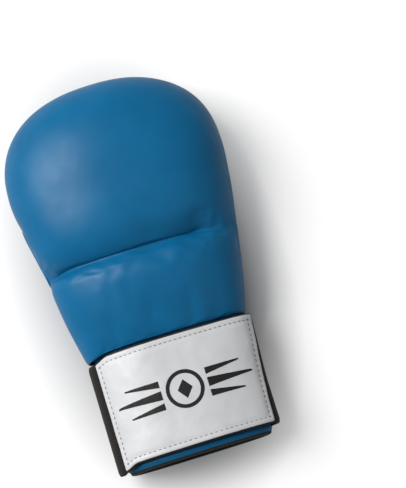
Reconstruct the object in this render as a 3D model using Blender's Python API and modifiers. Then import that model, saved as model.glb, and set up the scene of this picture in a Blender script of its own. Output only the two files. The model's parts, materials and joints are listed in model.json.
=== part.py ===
"""Padded martial arts mitt: a fist pad and a hand pad joined at a sewn fold, with a wrist strap.

The mitt lies palm down. +Y runs from the wrist to the knuckles, +X to the little finger side and
+Z up out of the back of the hand. The origin is under the middle of the mitt, on the surface that
it lies on. Every layer is the space between two offsets of one glove form.
"""
import math

import bmesh
import bpy
from mathutils import Matrix, Vector

MM = 0.001

# Driving dimensions, in millimetres; lengths along the hand are counted from the wrist end.
LENGTH = 265.0
FOLD_Y = 149.0              # the sewn fold across the back, where the fist pad hinges
FOLD_HEIGHT = 50.0          # height of the fold's hinge line
FOLD_ANGLE = 15.5           # clearance cut under the hinge line, in degrees
GAP = 0.3                   # space between touching pieces
COVER = 1.5                 # vinyl cover with its backing
LINING = 1.5                # inner lining
FRONT_START = 203.0         # widest place of the fist pad, where its round front starts
FRONT_WALL = 13.0           # pad thickness at the knuckles
FRONT_POWER = 2.4           # squareness of the round front
TOP_POWER = 2.2             # squareness of the back of a cross-section
UNDER_POWER = 2.8           # squareness of the palm side of a cross-section
AROUND = 32                 # points in a cross-section
FRONT_RINGS = 6
RIM = 11.0                  # width of the cover's rim on the palm side

STRAP_START, STRAP_END = 5.8, 85.0
LABEL_END = 81.0
STRAP_HALF, STRAP_TOP = 57.5, 48.4
LABEL = 1.0
WEBBING = 1.5
TAPE = 1.0
FIXED_WEBBING = 3.7
HINGE_HEIGHT = 23.85        # the strap's fold on the thumb side
TAIL_HEIGHT = 30.0          # the strap's end on the little finger side

CUFF_END = 84.0
BINDING = 3.2
PALM_START = 88.4
BAND_START, BAND_END = 137.0, 179.0
MESH_HALF = 30.0
MESH_END = 212.5
PIPING = 2.4
BAND_FRONT = 228.0
FINGER_END = 246.0
PALM_STOPS = (91.5, 104.0, 125.0, 141.0, 157.5, 170.5, 190.0, 208.0, 217.0, 226.0, 234.0, 241.0)
DIVIDER_SPACING = 25.0
DIVIDER_THICK = 3.0
DIVIDER_LOW, DIVIDER_HIGH = 8.5, 32.0

# The glove form's cross-sections: distance from the wrist end, half width, crown height, widest
# height, underside height, then the pad's thickness on the back, at the sides and on the palm.
SECTIONS = (
    (-5.0, 49.0, 40.5, 23.0, 5.2, 5.0, 5.0, 5.0),
    (6.0, 50.5, 41.6, 23.0, 4.8, 5.0, 5.0, 5.0),
    (20.0, 51.5, 42.4, 23.0, 4.5, 5.0, 5.0, 5.0),
    (85.5, 51.5, 42.4, 23.0, 4.5, 5.5, 5.0, 5.0),
    (88.0, 57.0, 49.0, 24.0, 1.0, 9.0, 6.5, 6.5),
    (95.0, 59.8, 54.0, 26.0, -2.0, 12.0, 7.5, 9.0),
    (114.0, 63.8, 60.0, 30.0, -3.0, 17.0, 9.0, 12.0),
    (136.0, 66.8, 65.0, 32.0, -3.0, 19.0, 10.0, 12.0),
    (144.0, 67.7, 65.5, 33.0, -3.0, 19.0, 10.0, 12.0),
    (149.0, 68.2, 60.5, 34.0, -3.0, 14.0, 10.0, 12.0),
    (154.0, 69.0, 67.0, 34.0, -3.0, 19.5, 10.5, 12.0),
    (163.0, 70.8, 71.0, 34.0, -3.0, 20.0, 10.5, 12.0),
    (178.0, 73.3, 73.6, 34.0, -3.0, 20.0, 11.0, 12.0),
    (FRONT_START, 76.0, 75.0, 34.0, -3.0, 20.0, 11.0, 12.0),
)

BLUE = (0.008, 0.136, 0.314)
DARK_BLUE = (0.006, 0.085, 0.215)
BLACK = (0.02, 0.018, 0.016)
WHITE = (0.75, 0.75, 0.78)
FOAM = (0.62, 0.58, 0.5)


def collection(name):
    found = bpy.data.collections.new(name)
    bpy.context.scene.collection.children.link(found)
    return found


def material(name, colour, roughness):
    made = bpy.data.materials.new(name)
    made.use_nodes = True
    shader = made.node_tree.nodes["Principled BSDF"]
    shader.inputs["Base Color"].default_value = (*colour, 1.0)
    shader.inputs["Roughness"].default_value = roughness
    shader.inputs["Metallic"].default_value = 0.0
    return made


def place(x, y, z):
    """A point of the mitt in metres, from millimetres counted from the wrist end."""
    return Vector((x, y - LENGTH / 2, z)) * MM


def power(value, squareness):
    return math.copysign(abs(value) ** (2 / squareness), value)


def ring(y, half, top, middle, under, floor):
    """One cross-section: a superellipse whose underside is pressed flat at the floor height."""
    points = []
    for step in range(AROUND):
        angle = 2 * math.pi * step / AROUND
        across, up = math.sin(angle), math.cos(angle)
        if up >= 0:
            x = half * power(across, TOP_POWER)
            z = middle + (top - middle) * power(up, TOP_POWER)
        else:
            x = half * power(across, UNDER_POWER)
            z = middle + (middle - under) * power(up, UNDER_POWER)
        points.append(place(x, y, max(z, floor)))
    return points


def loft(name, rings, tip=None):
    """A closed solid through the rings, capped flat at the first and at a tip or the last."""
    mesh = bmesh.new()
    loops = [[mesh.verts.new(point) for point in points] for points in rings]
    for low, high in zip(loops, loops[1:]):
        for a in range(AROUND):
            b = (a + 1) % AROUND
            mesh.faces.new((low[a], high[a], high[b], low[b]))
    mesh.faces.new(loops[0])
    if tip is None:
        mesh.faces.new(loops[-1][::-1])
    else:
        end = mesh.verts.new(tip)
        for a in range(AROUND):
            mesh.faces.new((loops[-1][a], end, loops[-1][(a + 1) % AROUND]))
    bmesh.ops.recalc_face_normals(mesh, faces=mesh.faces)
    bmesh.ops.triangulate(mesh, faces=mesh.faces, quad_method="FIXED", ngon_method="BEAUTY")
    data = bpy.data.meshes.new(name)
    mesh.to_mesh(data)
    mesh.free()
    return data


def glove_form(name, depth, from_cavity=False):
    """The glove form at a depth under its outside, or at a distance out from its cavity."""
    rings = []
    for y, half, top, middle, under, wall_top, wall_side, wall_under in SECTIONS:
        walls = (wall_top, wall_side, wall_under)
        back, side, palm = (wall - depth if from_cavity else depth for wall in walls)
        rings.append(ring(y, half - side, top - back, middle, under + palm, palm))
    front = FRONT_WALL - depth if from_cavity else depth
    reach = LENGTH - FRONT_START - front
    _, half, top, middle, under, *_ = SECTIONS[-1]
    for step in range(1, FRONT_RINGS):
        angle = math.pi / 2 * step / FRONT_RINGS
        shrink = math.cos(angle) ** (2 / FRONT_POWER)
        y = FRONT_START + reach * math.sin(angle) ** (2 / FRONT_POWER)
        rings.append(ring(
            y,
            (half - side) * shrink,
            middle + (top - back - middle) * shrink,
            middle,
            middle - (middle - under - palm) * shrink,
            palm,
        ))
    return loft(name, rings, place(0, FRONT_START + reach, middle))


def strap_form(name, depth):
    """The wrist strap's oval at a depth under its outside, longer than the strap."""
    section = (STRAP_HALF - depth, STRAP_TOP - depth, 23.0, depth - 1.0, depth)
    return loft(name, [ring(y, *section) for y in (-10.0, 95.0)])


def half_width(y):
    """The glove form's half width at a distance from the wrist end."""
    if y > FRONT_START:
        part = (y - FRONT_START) / (LENGTH - FRONT_START)
        return SECTIONS[-1][1] * (1 - part ** FRONT_POWER) ** (1 / FRONT_POWER)
    for (y0, half0, *_), (y1, half1, *_) in zip(SECTIONS, SECTIONS[1:]):
        if y0 <= y <= y1:
            return half0 + (half1 - half0) * (y - y0) / (y1 - y0)
    raise ValueError("outside the glove form")


def mesh_object(name, data, group):
    made = bpy.data.objects.new(name, data)
    group.objects.link(made)
    return made


def hide(cutter):
    cutter.hide_render = True
    cutter.display_type = "WIRE"
    return cutter


def block(name, low, high):
    """A box cutter between two corners."""
    low, high = place(*low), place(*high)
    mesh = bmesh.new()
    size = Matrix.Diagonal((*(high - low), 1.0))
    bmesh.ops.create_cube(mesh, size=1.0, matrix=Matrix.Translation((low + high) / 2) @ size)
    data = bpy.data.meshes.new(name)
    mesh.to_mesh(data)
    mesh.free()
    return hide(mesh_object(name, data, cutters))


def outline_solid(name, outline, low, high, turn, group):
    """A filled 2D curve extruded from low to high along the third axis of turn, as a mesh."""
    data = bpy.data.curves.new(name, "CURVE")
    data.dimensions = "2D"
    data.fill_mode = "BOTH"
    data.extrude = (high - low) / 2 * MM
    spline = data.splines.new("POLY")
    spline.points.add(len(outline) - 1)
    for point, (u, v) in zip(spline.points, outline):
        point.co = (u * MM, v * MM, 0.0, 1.0)
    spline.use_cyclic_u = True
    curve = mesh_object(name + "_outline", data, group)
    curve.matrix_world = turn @ Matrix.Translation((0, 0, (low + high) / 2 * MM))
    bpy.context.view_layer.update()
    evaluated = curve.evaluated_get(bpy.context.evaluated_depsgraph_get())
    solid = bpy.data.meshes.new_from_object(evaluated)
    solid.name = name
    mesh = bmesh.new()
    mesh.from_mesh(solid)
    bmesh.ops.remove_doubles(mesh, verts=mesh.verts, dist=1e-6)
    bmesh.ops.recalc_face_normals(mesh, faces=mesh.faces)
    mesh.to_mesh(solid)
    mesh.free()
    made = mesh_object(name, solid, group)
    made.matrix_world = curve.matrix_world
    bpy.data.objects.remove(curve)
    return made


def plan(name, outline, low, high):
    """A cutter with its outline in plan, from one height to another."""
    turn = Matrix.Translation((0, -LENGTH / 2 * MM, 0))
    return hide(outline_solid(name, outline, low, high, turn, cutters))


def profile(name, outline, low=-90.0, high=90.0):
    """A cutter whose outline is seen from the side, (along the hand, height), run across."""
    turn = Matrix.Translation((0, -LENGTH / 2 * MM, 0)) @ Matrix(
        ((0, 0, 1, 0), (1, 0, 0, 0), (0, 1, 0, 0), (0, 0, 0, 1))
    )
    return hide(outline_solid(name, outline, low, high, turn, cutters))


def palm_outline(start, end, margin):
    """The palm window between two distances from the wrist, smaller all round by a margin."""
    start, end = start + margin, end - margin
    stops = [start] + [y for y in PALM_STOPS if start < y < end] + [end]
    side = [(half_width(y) - RIM - margin, y) for y in stops]
    return side + [(-x, y) for x, y in reversed(side)]


def stadium(y0, y1, z0, z1, steps=8):
    """A slot's outline with round ends."""
    radius = (z1 - z0) / 2
    middle = (z0 + z1) / 2
    outline = []
    for centre, turn in ((y1 - radius, -90), (y0 + radius, 90)):
        for step in range(steps + 1):
            angle = math.radians(turn + 180 * step / steps)
            outline.append((centre + radius * math.cos(angle), middle + radius * math.sin(angle)))
    return outline


def clip(part, operation, other):
    step = part.modifiers.new(f"{operation.lower()}_{other.name}", "BOOLEAN")
    step.operation = operation
    step.solver = "EXACT"
    step.object = other


def piece(name, outside, inside, finish, keep=(), cut=(), parent=None):
    """A layer of the mitt: the space between two forms, kept inside and cut by regions."""
    made = mesh_object(name, forms[outside].data.copy(), parts)
    made.data.name = name
    made.data.materials.append(finish)
    if inside:
        clip(made, "DIFFERENCE", forms[inside])
    for region in keep:
        clip(made, "INTERSECT", region)
    for region in cut:
        clip(made, "DIFFERENCE", region)
    made.data.shade_smooth()
    made.data.set_sharp_from_angle(angle=math.radians(40))
    attach(made, parent)
    return made


def attach(part, parent):
    """Parents a part to its joint's empty without moving it."""
    if parent:
        part.parent = parent
        part.matrix_parent_inverse = parent.matrix_world.inverted()


def joint_empty(name, x, y, z):
    made = mesh_object(name, None, parts)
    made.location = place(x, y, z)
    bpy.context.view_layer.update()
    return made


def divider(name, x):
    """A fabric wall between two fingers, a box with rounded edges."""
    mesh = bmesh.new()
    length = FINGER_END - BAND_FRONT - 2 * GAP
    size = Vector((DIVIDER_THICK, length, DIVIDER_HIGH - DIVIDER_LOW)) * MM
    centre = place(x, (BAND_FRONT + FINGER_END) / 2, (DIVIDER_LOW + DIVIDER_HIGH) / 2)
    bmesh.ops.create_cube(
        mesh, size=1.0, matrix=Matrix.Translation(centre) @ Matrix.Diagonal((*size, 1.0))
    )
    data = bpy.data.meshes.new(name)
    mesh.to_mesh(data)
    mesh.free()
    made = mesh_object(name, data, parts)
    data.materials.append(black_fabric)
    bevel = made.modifiers.new("round_edges", "BEVEL")
    bevel.width = 1.2 * MM
    bevel.segments = 2
    data.shade_smooth()
    data.set_sharp_from_angle(angle=math.radians(40))
    attach(made, knuckle_fold)
    return made


for old in list(bpy.data.objects):
    bpy.data.objects.remove(old)

parts = collection("martial_arts_mitt")
cutters = collection("cutters")

blue_vinyl = material("blue_vinyl", BLUE, 0.42)
dark_vinyl = material("dark_blue_vinyl", DARK_BLUE, 0.5)
black_fabric = material("black_fabric", BLACK, 0.85)
black_elastic = material("black_elastic", BLACK, 0.8)
white_vinyl = material("white_vinyl", WHITE, 0.45)
grey_tape = material("hook_and_loop_tape", (0.03, 0.03, 0.03), 0.9)
foam = material("foam", FOAM, 0.9)
lining_cloth = material("lining_cloth", DARK_BLUE, 0.85)

forms = {
    name: hide(mesh_object(name, glove_form(name, *depth), cutters))
    for name, depth in {
        "outside": (0.0,),
        "under_cover": (COVER,),
        "foam_outside": (COVER + GAP,),
        "panel_outside": (4.5,),
        "panel_inside": (7.5,),
        "tab_inside": (9.0,),
        "foam_inside": (LINING + GAP, True),
        "lining_outside": (LINING, True),
        "cavity": (0.0, True),
    }.items()
}
strap_depths = {"strap_outside": 0.0, "under_label": LABEL}
strap_depths["webbing_outside"] = strap_depths["under_label"] + GAP
strap_depths["under_webbing"] = strap_depths["webbing_outside"] + WEBBING
strap_depths["hook_outside"] = strap_depths["under_webbing"] + GAP
strap_depths["under_hook"] = strap_depths["hook_outside"] + TAPE
strap_depths["loop_outside"] = strap_depths["under_hook"] + GAP
strap_depths["under_loop"] = strap_depths["loop_outside"] + TAPE
strap_depths["under_fixed_webbing"] = FIXED_WEBBING
for name, depth in strap_depths.items():
    forms[name] = hide(mesh_object(name, strap_form(name, depth), cutters))

# Regions that the layers are kept inside or cut by.
slope = math.tan(math.radians(FOLD_ANGLE))
drop = FOLD_HEIGHT + 10.0
fist_region = profile("fist_region", [
    (FOLD_Y + GAP / 2, 100.0),
    (FOLD_Y + GAP / 2, FOLD_HEIGHT),
    (FOLD_Y + GAP / 2 + drop * slope, -10.0),
    (LENGTH + 10.0, -10.0),
    (LENGTH + 10.0, 100.0),
])
gusset_top, gusset_low = 44.0, 13.0 - GAP
gusset_region = {
    side: profile(f"gusset_region_{side}", [
        (FOLD_Y + GAP / 2, high),
        (FOLD_Y + GAP / 2, -10.0),
        (FOLD_Y - GAP / 2 + (FOLD_HEIGHT + 10.0) * slope, -10.0),
        (FOLD_Y - GAP / 2 + (FOLD_HEIGHT - high) * slope, high),
    ], *across)
    for side, high, across in (("left", gusset_low, (-90.0, -40.0)),
                               ("right", gusset_top, (40.0, 90.0)))
}
hand_region = block("hand_region", (-90, CUFF_END + GAP, -10), (90, FOLD_Y - GAP / 2, 100))
cuff_region = block("cuff_region", (-90, BINDING + GAP, -10), (90, CUFF_END, 100))
binding_region = block("binding_region", (-90, 0, -10), (90, BINDING, 100))
palm_window = plan("palm_window", palm_outline(PALM_START, FINGER_END, 0.0), -10, 26)
thumb_opening = profile("thumb_opening", stadium(140.0, 184.0, 13.0, 37.0), -90.0, -40.0)


def palm_region(name, start, end):
    return plan(name, palm_outline(start, end, GAP), -10, 25)


panel_region = palm_region("panel_region", PALM_START, BAND_START)
band_region = palm_region("band_region", BAND_START, BAND_END)
tab_region = palm_region("tab_region", BAND_END, 230.0)
finger_band_region = palm_region("finger_band_region", MESH_END, BAND_FRONT)
corner_region = palm_region("corner_region", 230.0, 242.0)

# The fist pad turns on the sewn fold and the strap on its own fold at the thumb side.
knuckle_fold = joint_empty("knuckle_fold_axis", 0, FOLD_Y, FOLD_HEIGHT)
strap_fold = joint_empty("strap_fold_axis", -STRAP_HALF, (STRAP_START + STRAP_END) / 2, HINGE_HEIGHT)

# Hand pad and cuff.
piece("cuff_binding", "outside", "cavity", black_fabric, [binding_region])
piece("cuff_shell", "outside", "under_cover", blue_vinyl, [cuff_region])
piece("cuff_padding", "foam_outside", "foam_inside", foam, [cuff_region])
piece("cuff_lining", "lining_outside", "cavity", lining_cloth, [cuff_region])
piece("hand_cover", "outside", "under_cover", blue_vinyl, [hand_region],
      [palm_window, thumb_opening])
piece("hand_foam", "foam_outside", "foam_inside", foam, [hand_region],
      [palm_window, thumb_opening])
piece("hand_lining", "lining_outside", "cavity", lining_cloth, [hand_region], [thumb_opening])
piece("lower_palm_panel", "outside", "under_cover", dark_vinyl, [panel_region])
piece("lower_palm_foam", "foam_outside", "foam_inside", foam, [panel_region])
piece("palm_band_cover", "outside", "under_cover", blue_vinyl, [band_region])
piece("palm_band_foam", "foam_outside", "foam_inside", foam, [band_region])
for side, region in gusset_region.items():
    piece(f"side_gusset_{side}", "outside", "under_cover", blue_vinyl, [region], [palm_window])

# Fist pad.
fist_cuts = [palm_window, thumb_opening]
piece("fist_cover", "outside", "under_cover", blue_vinyl, [fist_region], fist_cuts, knuckle_fold)
piece("fist_foam", "foam_outside", "foam_inside", foam, [fist_region], fist_cuts, knuckle_fold)
piece("fist_lining", "lining_outside", "cavity", lining_cloth, [fist_region], fist_cuts,
      knuckle_fold)
tab_edge = MESH_HALF + 2 * GAP + PIPING
for side, sign in (("left", -1), ("right", 1)):
    def beside(name, near, far, start, end, sign=sign, side=side):
        low, high = sorted((sign * near, sign * far))
        return block(f"{name}_{side}", (low, start, -10), (high, end, 25))

    piece(f"palm_tab_{side}", "outside", "tab_inside", blue_vinyl,
          [tab_region, beside("tab_side", tab_edge, 90, BAND_END, 230)], parent=knuckle_fold)
    piece(f"tab_piping_{side}", "outside", "panel_inside", blue_vinyl,
          [tab_region, beside("piping_side", MESH_HALF + GAP, MESH_HALF + GAP + PIPING,
                              BAND_END, 230)], parent=knuckle_fold)
    piece(f"corner_gusset_{side}", "panel_outside", "panel_inside", black_fabric,
          [corner_region, beside("corner_side", 48, 90, 229, 245)], parent=knuckle_fold)
mesh_region = block("mesh_region", (-MESH_HALF, BAND_END + GAP, -10), (MESH_HALF, MESH_END, 25))
front_region = block("front_region", (-MESH_HALF, 180, -10), (MESH_HALF, 240, 25))
piece("palm_mesh_panel", "panel_outside", "panel_inside", black_fabric, [mesh_region],
      parent=knuckle_fold)
piece("finger_band", "panel_outside", "panel_inside", black_fabric,
      [finger_band_region, front_region], parent=knuckle_fold)
for number in (1, 2, 3):
    divider(f"finger_divider_{number}", (number - 2) * DIVIDER_SPACING)

# Wrist strap.
fixed_region = hide(outline_solid(
    "fixed_region",
    [(-70, -5), (70, -5), (70, TAIL_HEIGHT - GAP), (0, TAIL_HEIGHT - GAP),
     (0, HINGE_HEIGHT - GAP / 2), (-70, HINGE_HEIGHT - GAP / 2)],
    LENGTH / 2 - STRAP_END, LENGTH / 2 - STRAP_START,
    Matrix(((1, 0, 0, 0), (0, 0, -1, 0), (0, 1, 0, 0), (0, 0, 0, 1))), cutters))
flap_region = hide(outline_solid(
    "flap_region",
    [(-70, HINGE_HEIGHT + GAP / 2), (0, HINGE_HEIGHT + GAP / 2), (0, TAIL_HEIGHT),
     (70, TAIL_HEIGHT), (70, 60), (-70, 60)],
    LENGTH / 2 - STRAP_END, LENGTH / 2 - STRAP_START,
    Matrix(((1, 0, 0, 0), (0, 0, -1, 0), (0, 1, 0, 0), (0, 0, 0, 1))), cutters))
label_region = block("label_region", (-55, STRAP_START + 1, 31), (70, LABEL_END, 60))
hook_region = block("hook_region", (5, 15, 35), (46, 75, 60))
loop_region = block("loop_region", (-28, 12, 33), (47, 78, 60))
piece("wrist_elastic", "strap_outside", "under_fixed_webbing", black_elastic, [fixed_region])
piece("loop_patch", "loop_outside", "under_loop", grey_tape, [loop_region])
piece("strap_elastic", "webbing_outside", "under_webbing", black_elastic, [flap_region],
      parent=strap_fold)
piece("strap_label", "strap_outside", "under_label", white_vinyl, [label_region],
      parent=strap_fold)
piece("hook_patch", "hook_outside", "under_hook", grey_tape, [hook_region], parent=strap_fold)
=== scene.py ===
"""A padded martial arts mitt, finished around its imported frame.

The vinyl skin, the foam, the lining and the palm pieces are read from one glove form, and the
wrist strap from one oval. Lengths are in millimetres from the wrist end until a mesh is made.
"""

import json
import math

import bmesh
import bpy
import numpy as np
from bpy.props import FloatProperty, FloatVectorProperty, PointerProperty
from mathutils import Matrix, Vector, noise


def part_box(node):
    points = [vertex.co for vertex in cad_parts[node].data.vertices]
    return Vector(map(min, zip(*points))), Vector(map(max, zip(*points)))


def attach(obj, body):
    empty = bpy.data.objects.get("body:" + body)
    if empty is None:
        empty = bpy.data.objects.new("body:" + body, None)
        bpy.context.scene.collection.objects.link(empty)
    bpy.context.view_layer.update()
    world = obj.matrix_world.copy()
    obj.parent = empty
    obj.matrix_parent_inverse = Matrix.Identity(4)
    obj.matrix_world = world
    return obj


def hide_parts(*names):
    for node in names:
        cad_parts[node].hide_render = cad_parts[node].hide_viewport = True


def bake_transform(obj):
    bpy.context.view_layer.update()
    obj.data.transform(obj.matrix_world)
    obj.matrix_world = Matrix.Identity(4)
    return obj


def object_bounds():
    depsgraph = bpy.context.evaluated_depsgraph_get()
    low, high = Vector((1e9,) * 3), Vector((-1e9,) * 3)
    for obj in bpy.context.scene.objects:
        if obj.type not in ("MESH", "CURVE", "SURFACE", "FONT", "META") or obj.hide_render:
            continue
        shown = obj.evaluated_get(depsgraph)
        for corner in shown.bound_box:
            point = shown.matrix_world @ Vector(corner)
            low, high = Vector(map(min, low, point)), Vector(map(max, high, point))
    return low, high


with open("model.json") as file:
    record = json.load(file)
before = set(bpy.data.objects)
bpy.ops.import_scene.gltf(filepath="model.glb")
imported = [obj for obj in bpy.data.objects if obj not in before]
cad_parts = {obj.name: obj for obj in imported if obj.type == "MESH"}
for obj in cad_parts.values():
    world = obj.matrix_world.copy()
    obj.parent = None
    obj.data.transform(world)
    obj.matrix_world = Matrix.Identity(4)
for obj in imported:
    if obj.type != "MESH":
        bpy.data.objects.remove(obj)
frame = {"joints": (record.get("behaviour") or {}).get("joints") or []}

bl_info = {
    "name": "Martial Arts Mitt",
    "version": (1, 0, 0),
    "blender": (4, 5, 0),
    "location": "View3D > Sidebar > Mitt",
    "description": "Finishes a padded martial arts mitt around its frame, piece by piece",
    "category": "Object",
}

CAD_LOW, CAD_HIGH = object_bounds()
MM = 0.001


def from_wrist(y):
    """A distance from the mitt's wrist end, in millimetres, from a place in metres."""
    return (y - CAD_LOW.y) / MM


def node_span(node):
    """Where a frame node starts and ends along the hand, in millimetres from the wrist end."""
    low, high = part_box(node)
    return from_wrist(low.y), from_wrist(high.y)


LENGTH = from_wrist(CAD_HIGH.y)
HALF = CAD_HIGH.x / MM
HEIGHT = CAD_HIGH.z / MM
FOLD = next(from_wrist(j["pos_m"][1]) for j in frame["joints"] if j["name"] == "knuckle_fold")
CREASE = FOLD - 7.8      # where the fold's line shows on the skin, under the fist pad's edge
STRAP_START, STRAP_END = node_span("wrist_elastic")
LABEL_START, LABEL_END = node_span("strap_label")
STRAP_EDGE = LABEL_END + 1.0      # the strap's edge beside the pad, in its shadow
STRAP_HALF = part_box("wrist_elastic")[1].x / MM
STRAP_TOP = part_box("strap_label")[1].z / MM
CUFF_END = node_span("cuff_shell")[1]
BINDING_END = node_span("cuff_binding")[1]
BAND_START, BAND_END = node_span("palm_band_cover")
PANEL_START = node_span("lower_palm_panel")[0]
TAB_END = node_span("palm_tab_left")[1]
MESH_END = node_span("palm_mesh_panel")[1]
FINGER_BAND_END = node_span("finger_band")[1]
MESH_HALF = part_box("palm_mesh_panel")[1].x / MM
DIVIDERS = [sum(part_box(f"finger_divider_{n}"), Vector()).x / 2 / MM for n in (1, 2, 3)]
DIVIDER_SPAN = node_span("finger_divider_1")

# The glove form: where its round front starts, where its front edge turns under to the palm,
# the squareness of its sections, and the width of the skin's rim round the palm window.
FRONT_START = 203.0
FRONT_WALL = 13.0
TIP = FRONT_START + 95.0
LIP = FRONT_START + 42.5
FRONT_POWER = 2.4
TOP_POWER = 2.2
UNDER_POWER = 2.8
RIM = 11.0
SIDE_COLUMNS, UNDER_COLUMNS = 34, 8

# Distance from the wrist end, half width, crown height, widest height, underside height, and the
# wall's thickness on the back, at the sides and on the palm.
STATIONS = np.array((
    (0.0, 49.4, 40.9, 23.0, 5.0, 5.0, 5.0, 5.0),
    (10.0, 50.8, 41.9, 23.0, 4.7, 5.0, 5.0, 5.0),
    (22.0, 51.5, 42.4, 23.0, 4.5, 5.0, 5.0, 5.0),
    (84.3, 51.5, 42.4, 23.0, 4.5, 5.5, 5.0, 5.0),
    (85.4, 55.6, 46.8, 23.5, 2.2, 9.0, 8.6, 6.0),
    (88.5, 57.9, 49.8, 24.0, 1.0, 9.7, 7.2, 6.5),
    (95.0, 59.8, 54.0, 26.0, -2.0, 12.0, 7.5, 9.0),
    (114.0, 63.8, 60.0, 30.0, -3.0, 17.0, 9.0, 12.0),
    (136.0, 66.8, 65.0, 32.0, -3.0, 19.0, 10.0, 12.0),
    (FOLD, 68.4, 67.6, 33.4, -3.0, 19.0, 10.0, 12.0),
    (163.0, 70.8, 71.2, 34.0, -3.0, 20.0, 10.5, 12.0),
    (178.0, 73.3, 73.6, 34.0, -3.0, 20.0, 11.0, 12.0),
    (FRONT_START, HALF, HEIGHT, 34.0, -3.0, 20.0, 11.0, 12.0),
))

# The thumb opening in the side wall, a slot with round ends.
THUMB_START, THUMB_END = 140.0, 184.0
THUMB_LOW, THUMB_HIGH = 11.5, 32.0
THUMB_RADIUS = (THUMB_HIGH - THUMB_LOW) / 2
THUMB_MIDDLE = (THUMB_HIGH + THUMB_LOW) / 2
THUMB_SIDE = -40.0         # the side wall that the slot is in lies beyond this x

SIDES = (("left", -1), ("right", 1))
TAB_STITCH = 0.8           # the tabs' stitches, as a share of the label's
SEAM = 0.4                 # space between a palm piece and the window's edge
FABRIC_DEPTH = 4.6         # how deep the fabric lies under the palm pads

# The fabric gussets at the two front corners of the palm window.
CORNER_START, CORNER_END = 230.5, 241.5
CORNER_INNER, CORNER_OUTER = 48.4, 60.0

# Thicknesses of the layers.
SKIN = 1.4
LINING = 1.4
FACING = 1.1
PALM_PAD = 9.6
WRIST_BAND = 3.4
LABEL = 1.05
EDGE_ROLL = 2.2            # how far the skin turns in at the palm window


# ---------------------------------------------------------------- the glove form

def smooth_curve(stops, values, at):
    """A monotone cubic through the stops, so that it never swings past them."""
    gaps = np.diff(stops)
    slopes = np.diff(values) / gaps
    tangents = np.zeros(len(stops))
    rising = slopes[:-1] * slopes[1:] > 0
    mean = 2 * slopes[:-1] * slopes[1:] / np.where(rising, slopes[:-1] + slopes[1:], 1.0)
    tangents[1:-1] = np.where(rising, mean, 0.0)
    index = np.clip(np.searchsorted(stops, at) - 1, 0, len(gaps) - 1)
    t = np.clip((at - stops[index]) / gaps[index], 0.0, 1.0)
    low, high = values[index], values[index + 1]
    return (
        low * (1 + 2 * t) * (1 - t) ** 2
        + high * t * t * (3 - 2 * t)
        + gaps[index] * (tangents[index] * t * (1 - t) ** 2 - tangents[index + 1] * t * t * (1 - t))
    )


def fade(low, high, value):
    """0 below low, 1 above high and smooth between; low above high runs the other way."""
    t = np.clip((value - low) / (high - low), 0.0, 1.0)
    return t * t * (3 - 2 * t)


def power(value, squareness):
    return np.sign(value) * np.abs(value) ** (2 / squareness)


def stations(s):
    at = np.minimum(s, FRONT_START)
    return [smooth_curve(STATIONS[:, 0], column, at) for column in STATIONS.T[1:]]


def front_turn(s):
    return np.pi / 2 * np.clip((s - FRONT_START) / (TIP - FRONT_START), 0.0, 1.0)


def soft_floor(z, floor, softness=1.2):
    """z pressed flat at the floor, with a rounded edge to the flat."""
    rise = z - floor
    return floor + (rise + np.sqrt(rise * rise + softness * softness)) / 2


def form(theta, s, depth=0.0, from_cavity=False):
    """Points of the glove form at angles round it (0 on the back, positive to the little finger
    side) and distances s along it, at a depth under its outside or a distance out of its cavity.
    """
    theta, s = np.broadcast_arrays(np.asarray(theta, float), np.asarray(s, float))
    half, crown, widest, under, back, side, palm = stations(s)
    front = FRONT_WALL
    if from_cavity:
        back, side, palm, front = back - depth, side - depth, palm - depth, front - depth
    else:
        back = side = palm = front = depth + 0.0 * half
    turn = front_turn(s)
    shrink = np.maximum(np.cos(turn), 0.0) ** (2 / FRONT_POWER)
    reach = (LENGTH - FRONT_START - front) * np.sin(turn) ** (2 / FRONT_POWER)
    up = np.cos(theta)
    squareness = np.where(up >= 0, TOP_POWER, UNDER_POWER)
    x = (half - side) * shrink * power(np.sin(theta), squareness)
    rise = np.where(up >= 0, crown - back - widest, widest - under - palm)
    z = widest + rise * shrink * power(up, squareness)
    return np.stack((x, np.minimum(s, FRONT_START) + reach, soft_floor(z, palm)), axis=-1)


def local_half(s):
    """The glove form's half width at s, in its round front too."""
    return stations(s)[0] * np.maximum(np.cos(front_turn(s)), 0.0) ** (2 / FRONT_POWER)


def window_angle(s):
    """The angle at which the palm window's edge runs."""
    half = local_half(np.minimum(s, LIP))
    return np.pi - np.arcsin(((half - RIM) / half) ** (UNDER_POWER / 2))


def column_index():
    """The columns of the form's grids, counted both ways from the back's middle line."""
    count = SIDE_COLUMNS + UNDER_COLUMNS
    return np.arange(1 - count, count + 1)


def spread_columns(edge):
    """Angles of the form's columns, with one column along each edge of the palm window."""
    index = column_index()
    step = np.abs(index)
    edge = np.asarray(edge, float)[:, None]
    beyond = edge + (np.pi - edge) * (step - SIDE_COLUMNS) / UNDER_COLUMNS
    return np.sign(index) * np.where(step <= SIDE_COLUMNS, edge * step / SIDE_COLUMNS, beyond)


def ring_angles(s):
    """Angles of the skin's columns at each s."""
    return spread_columns(window_angle(np.asarray(s, float)))


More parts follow.
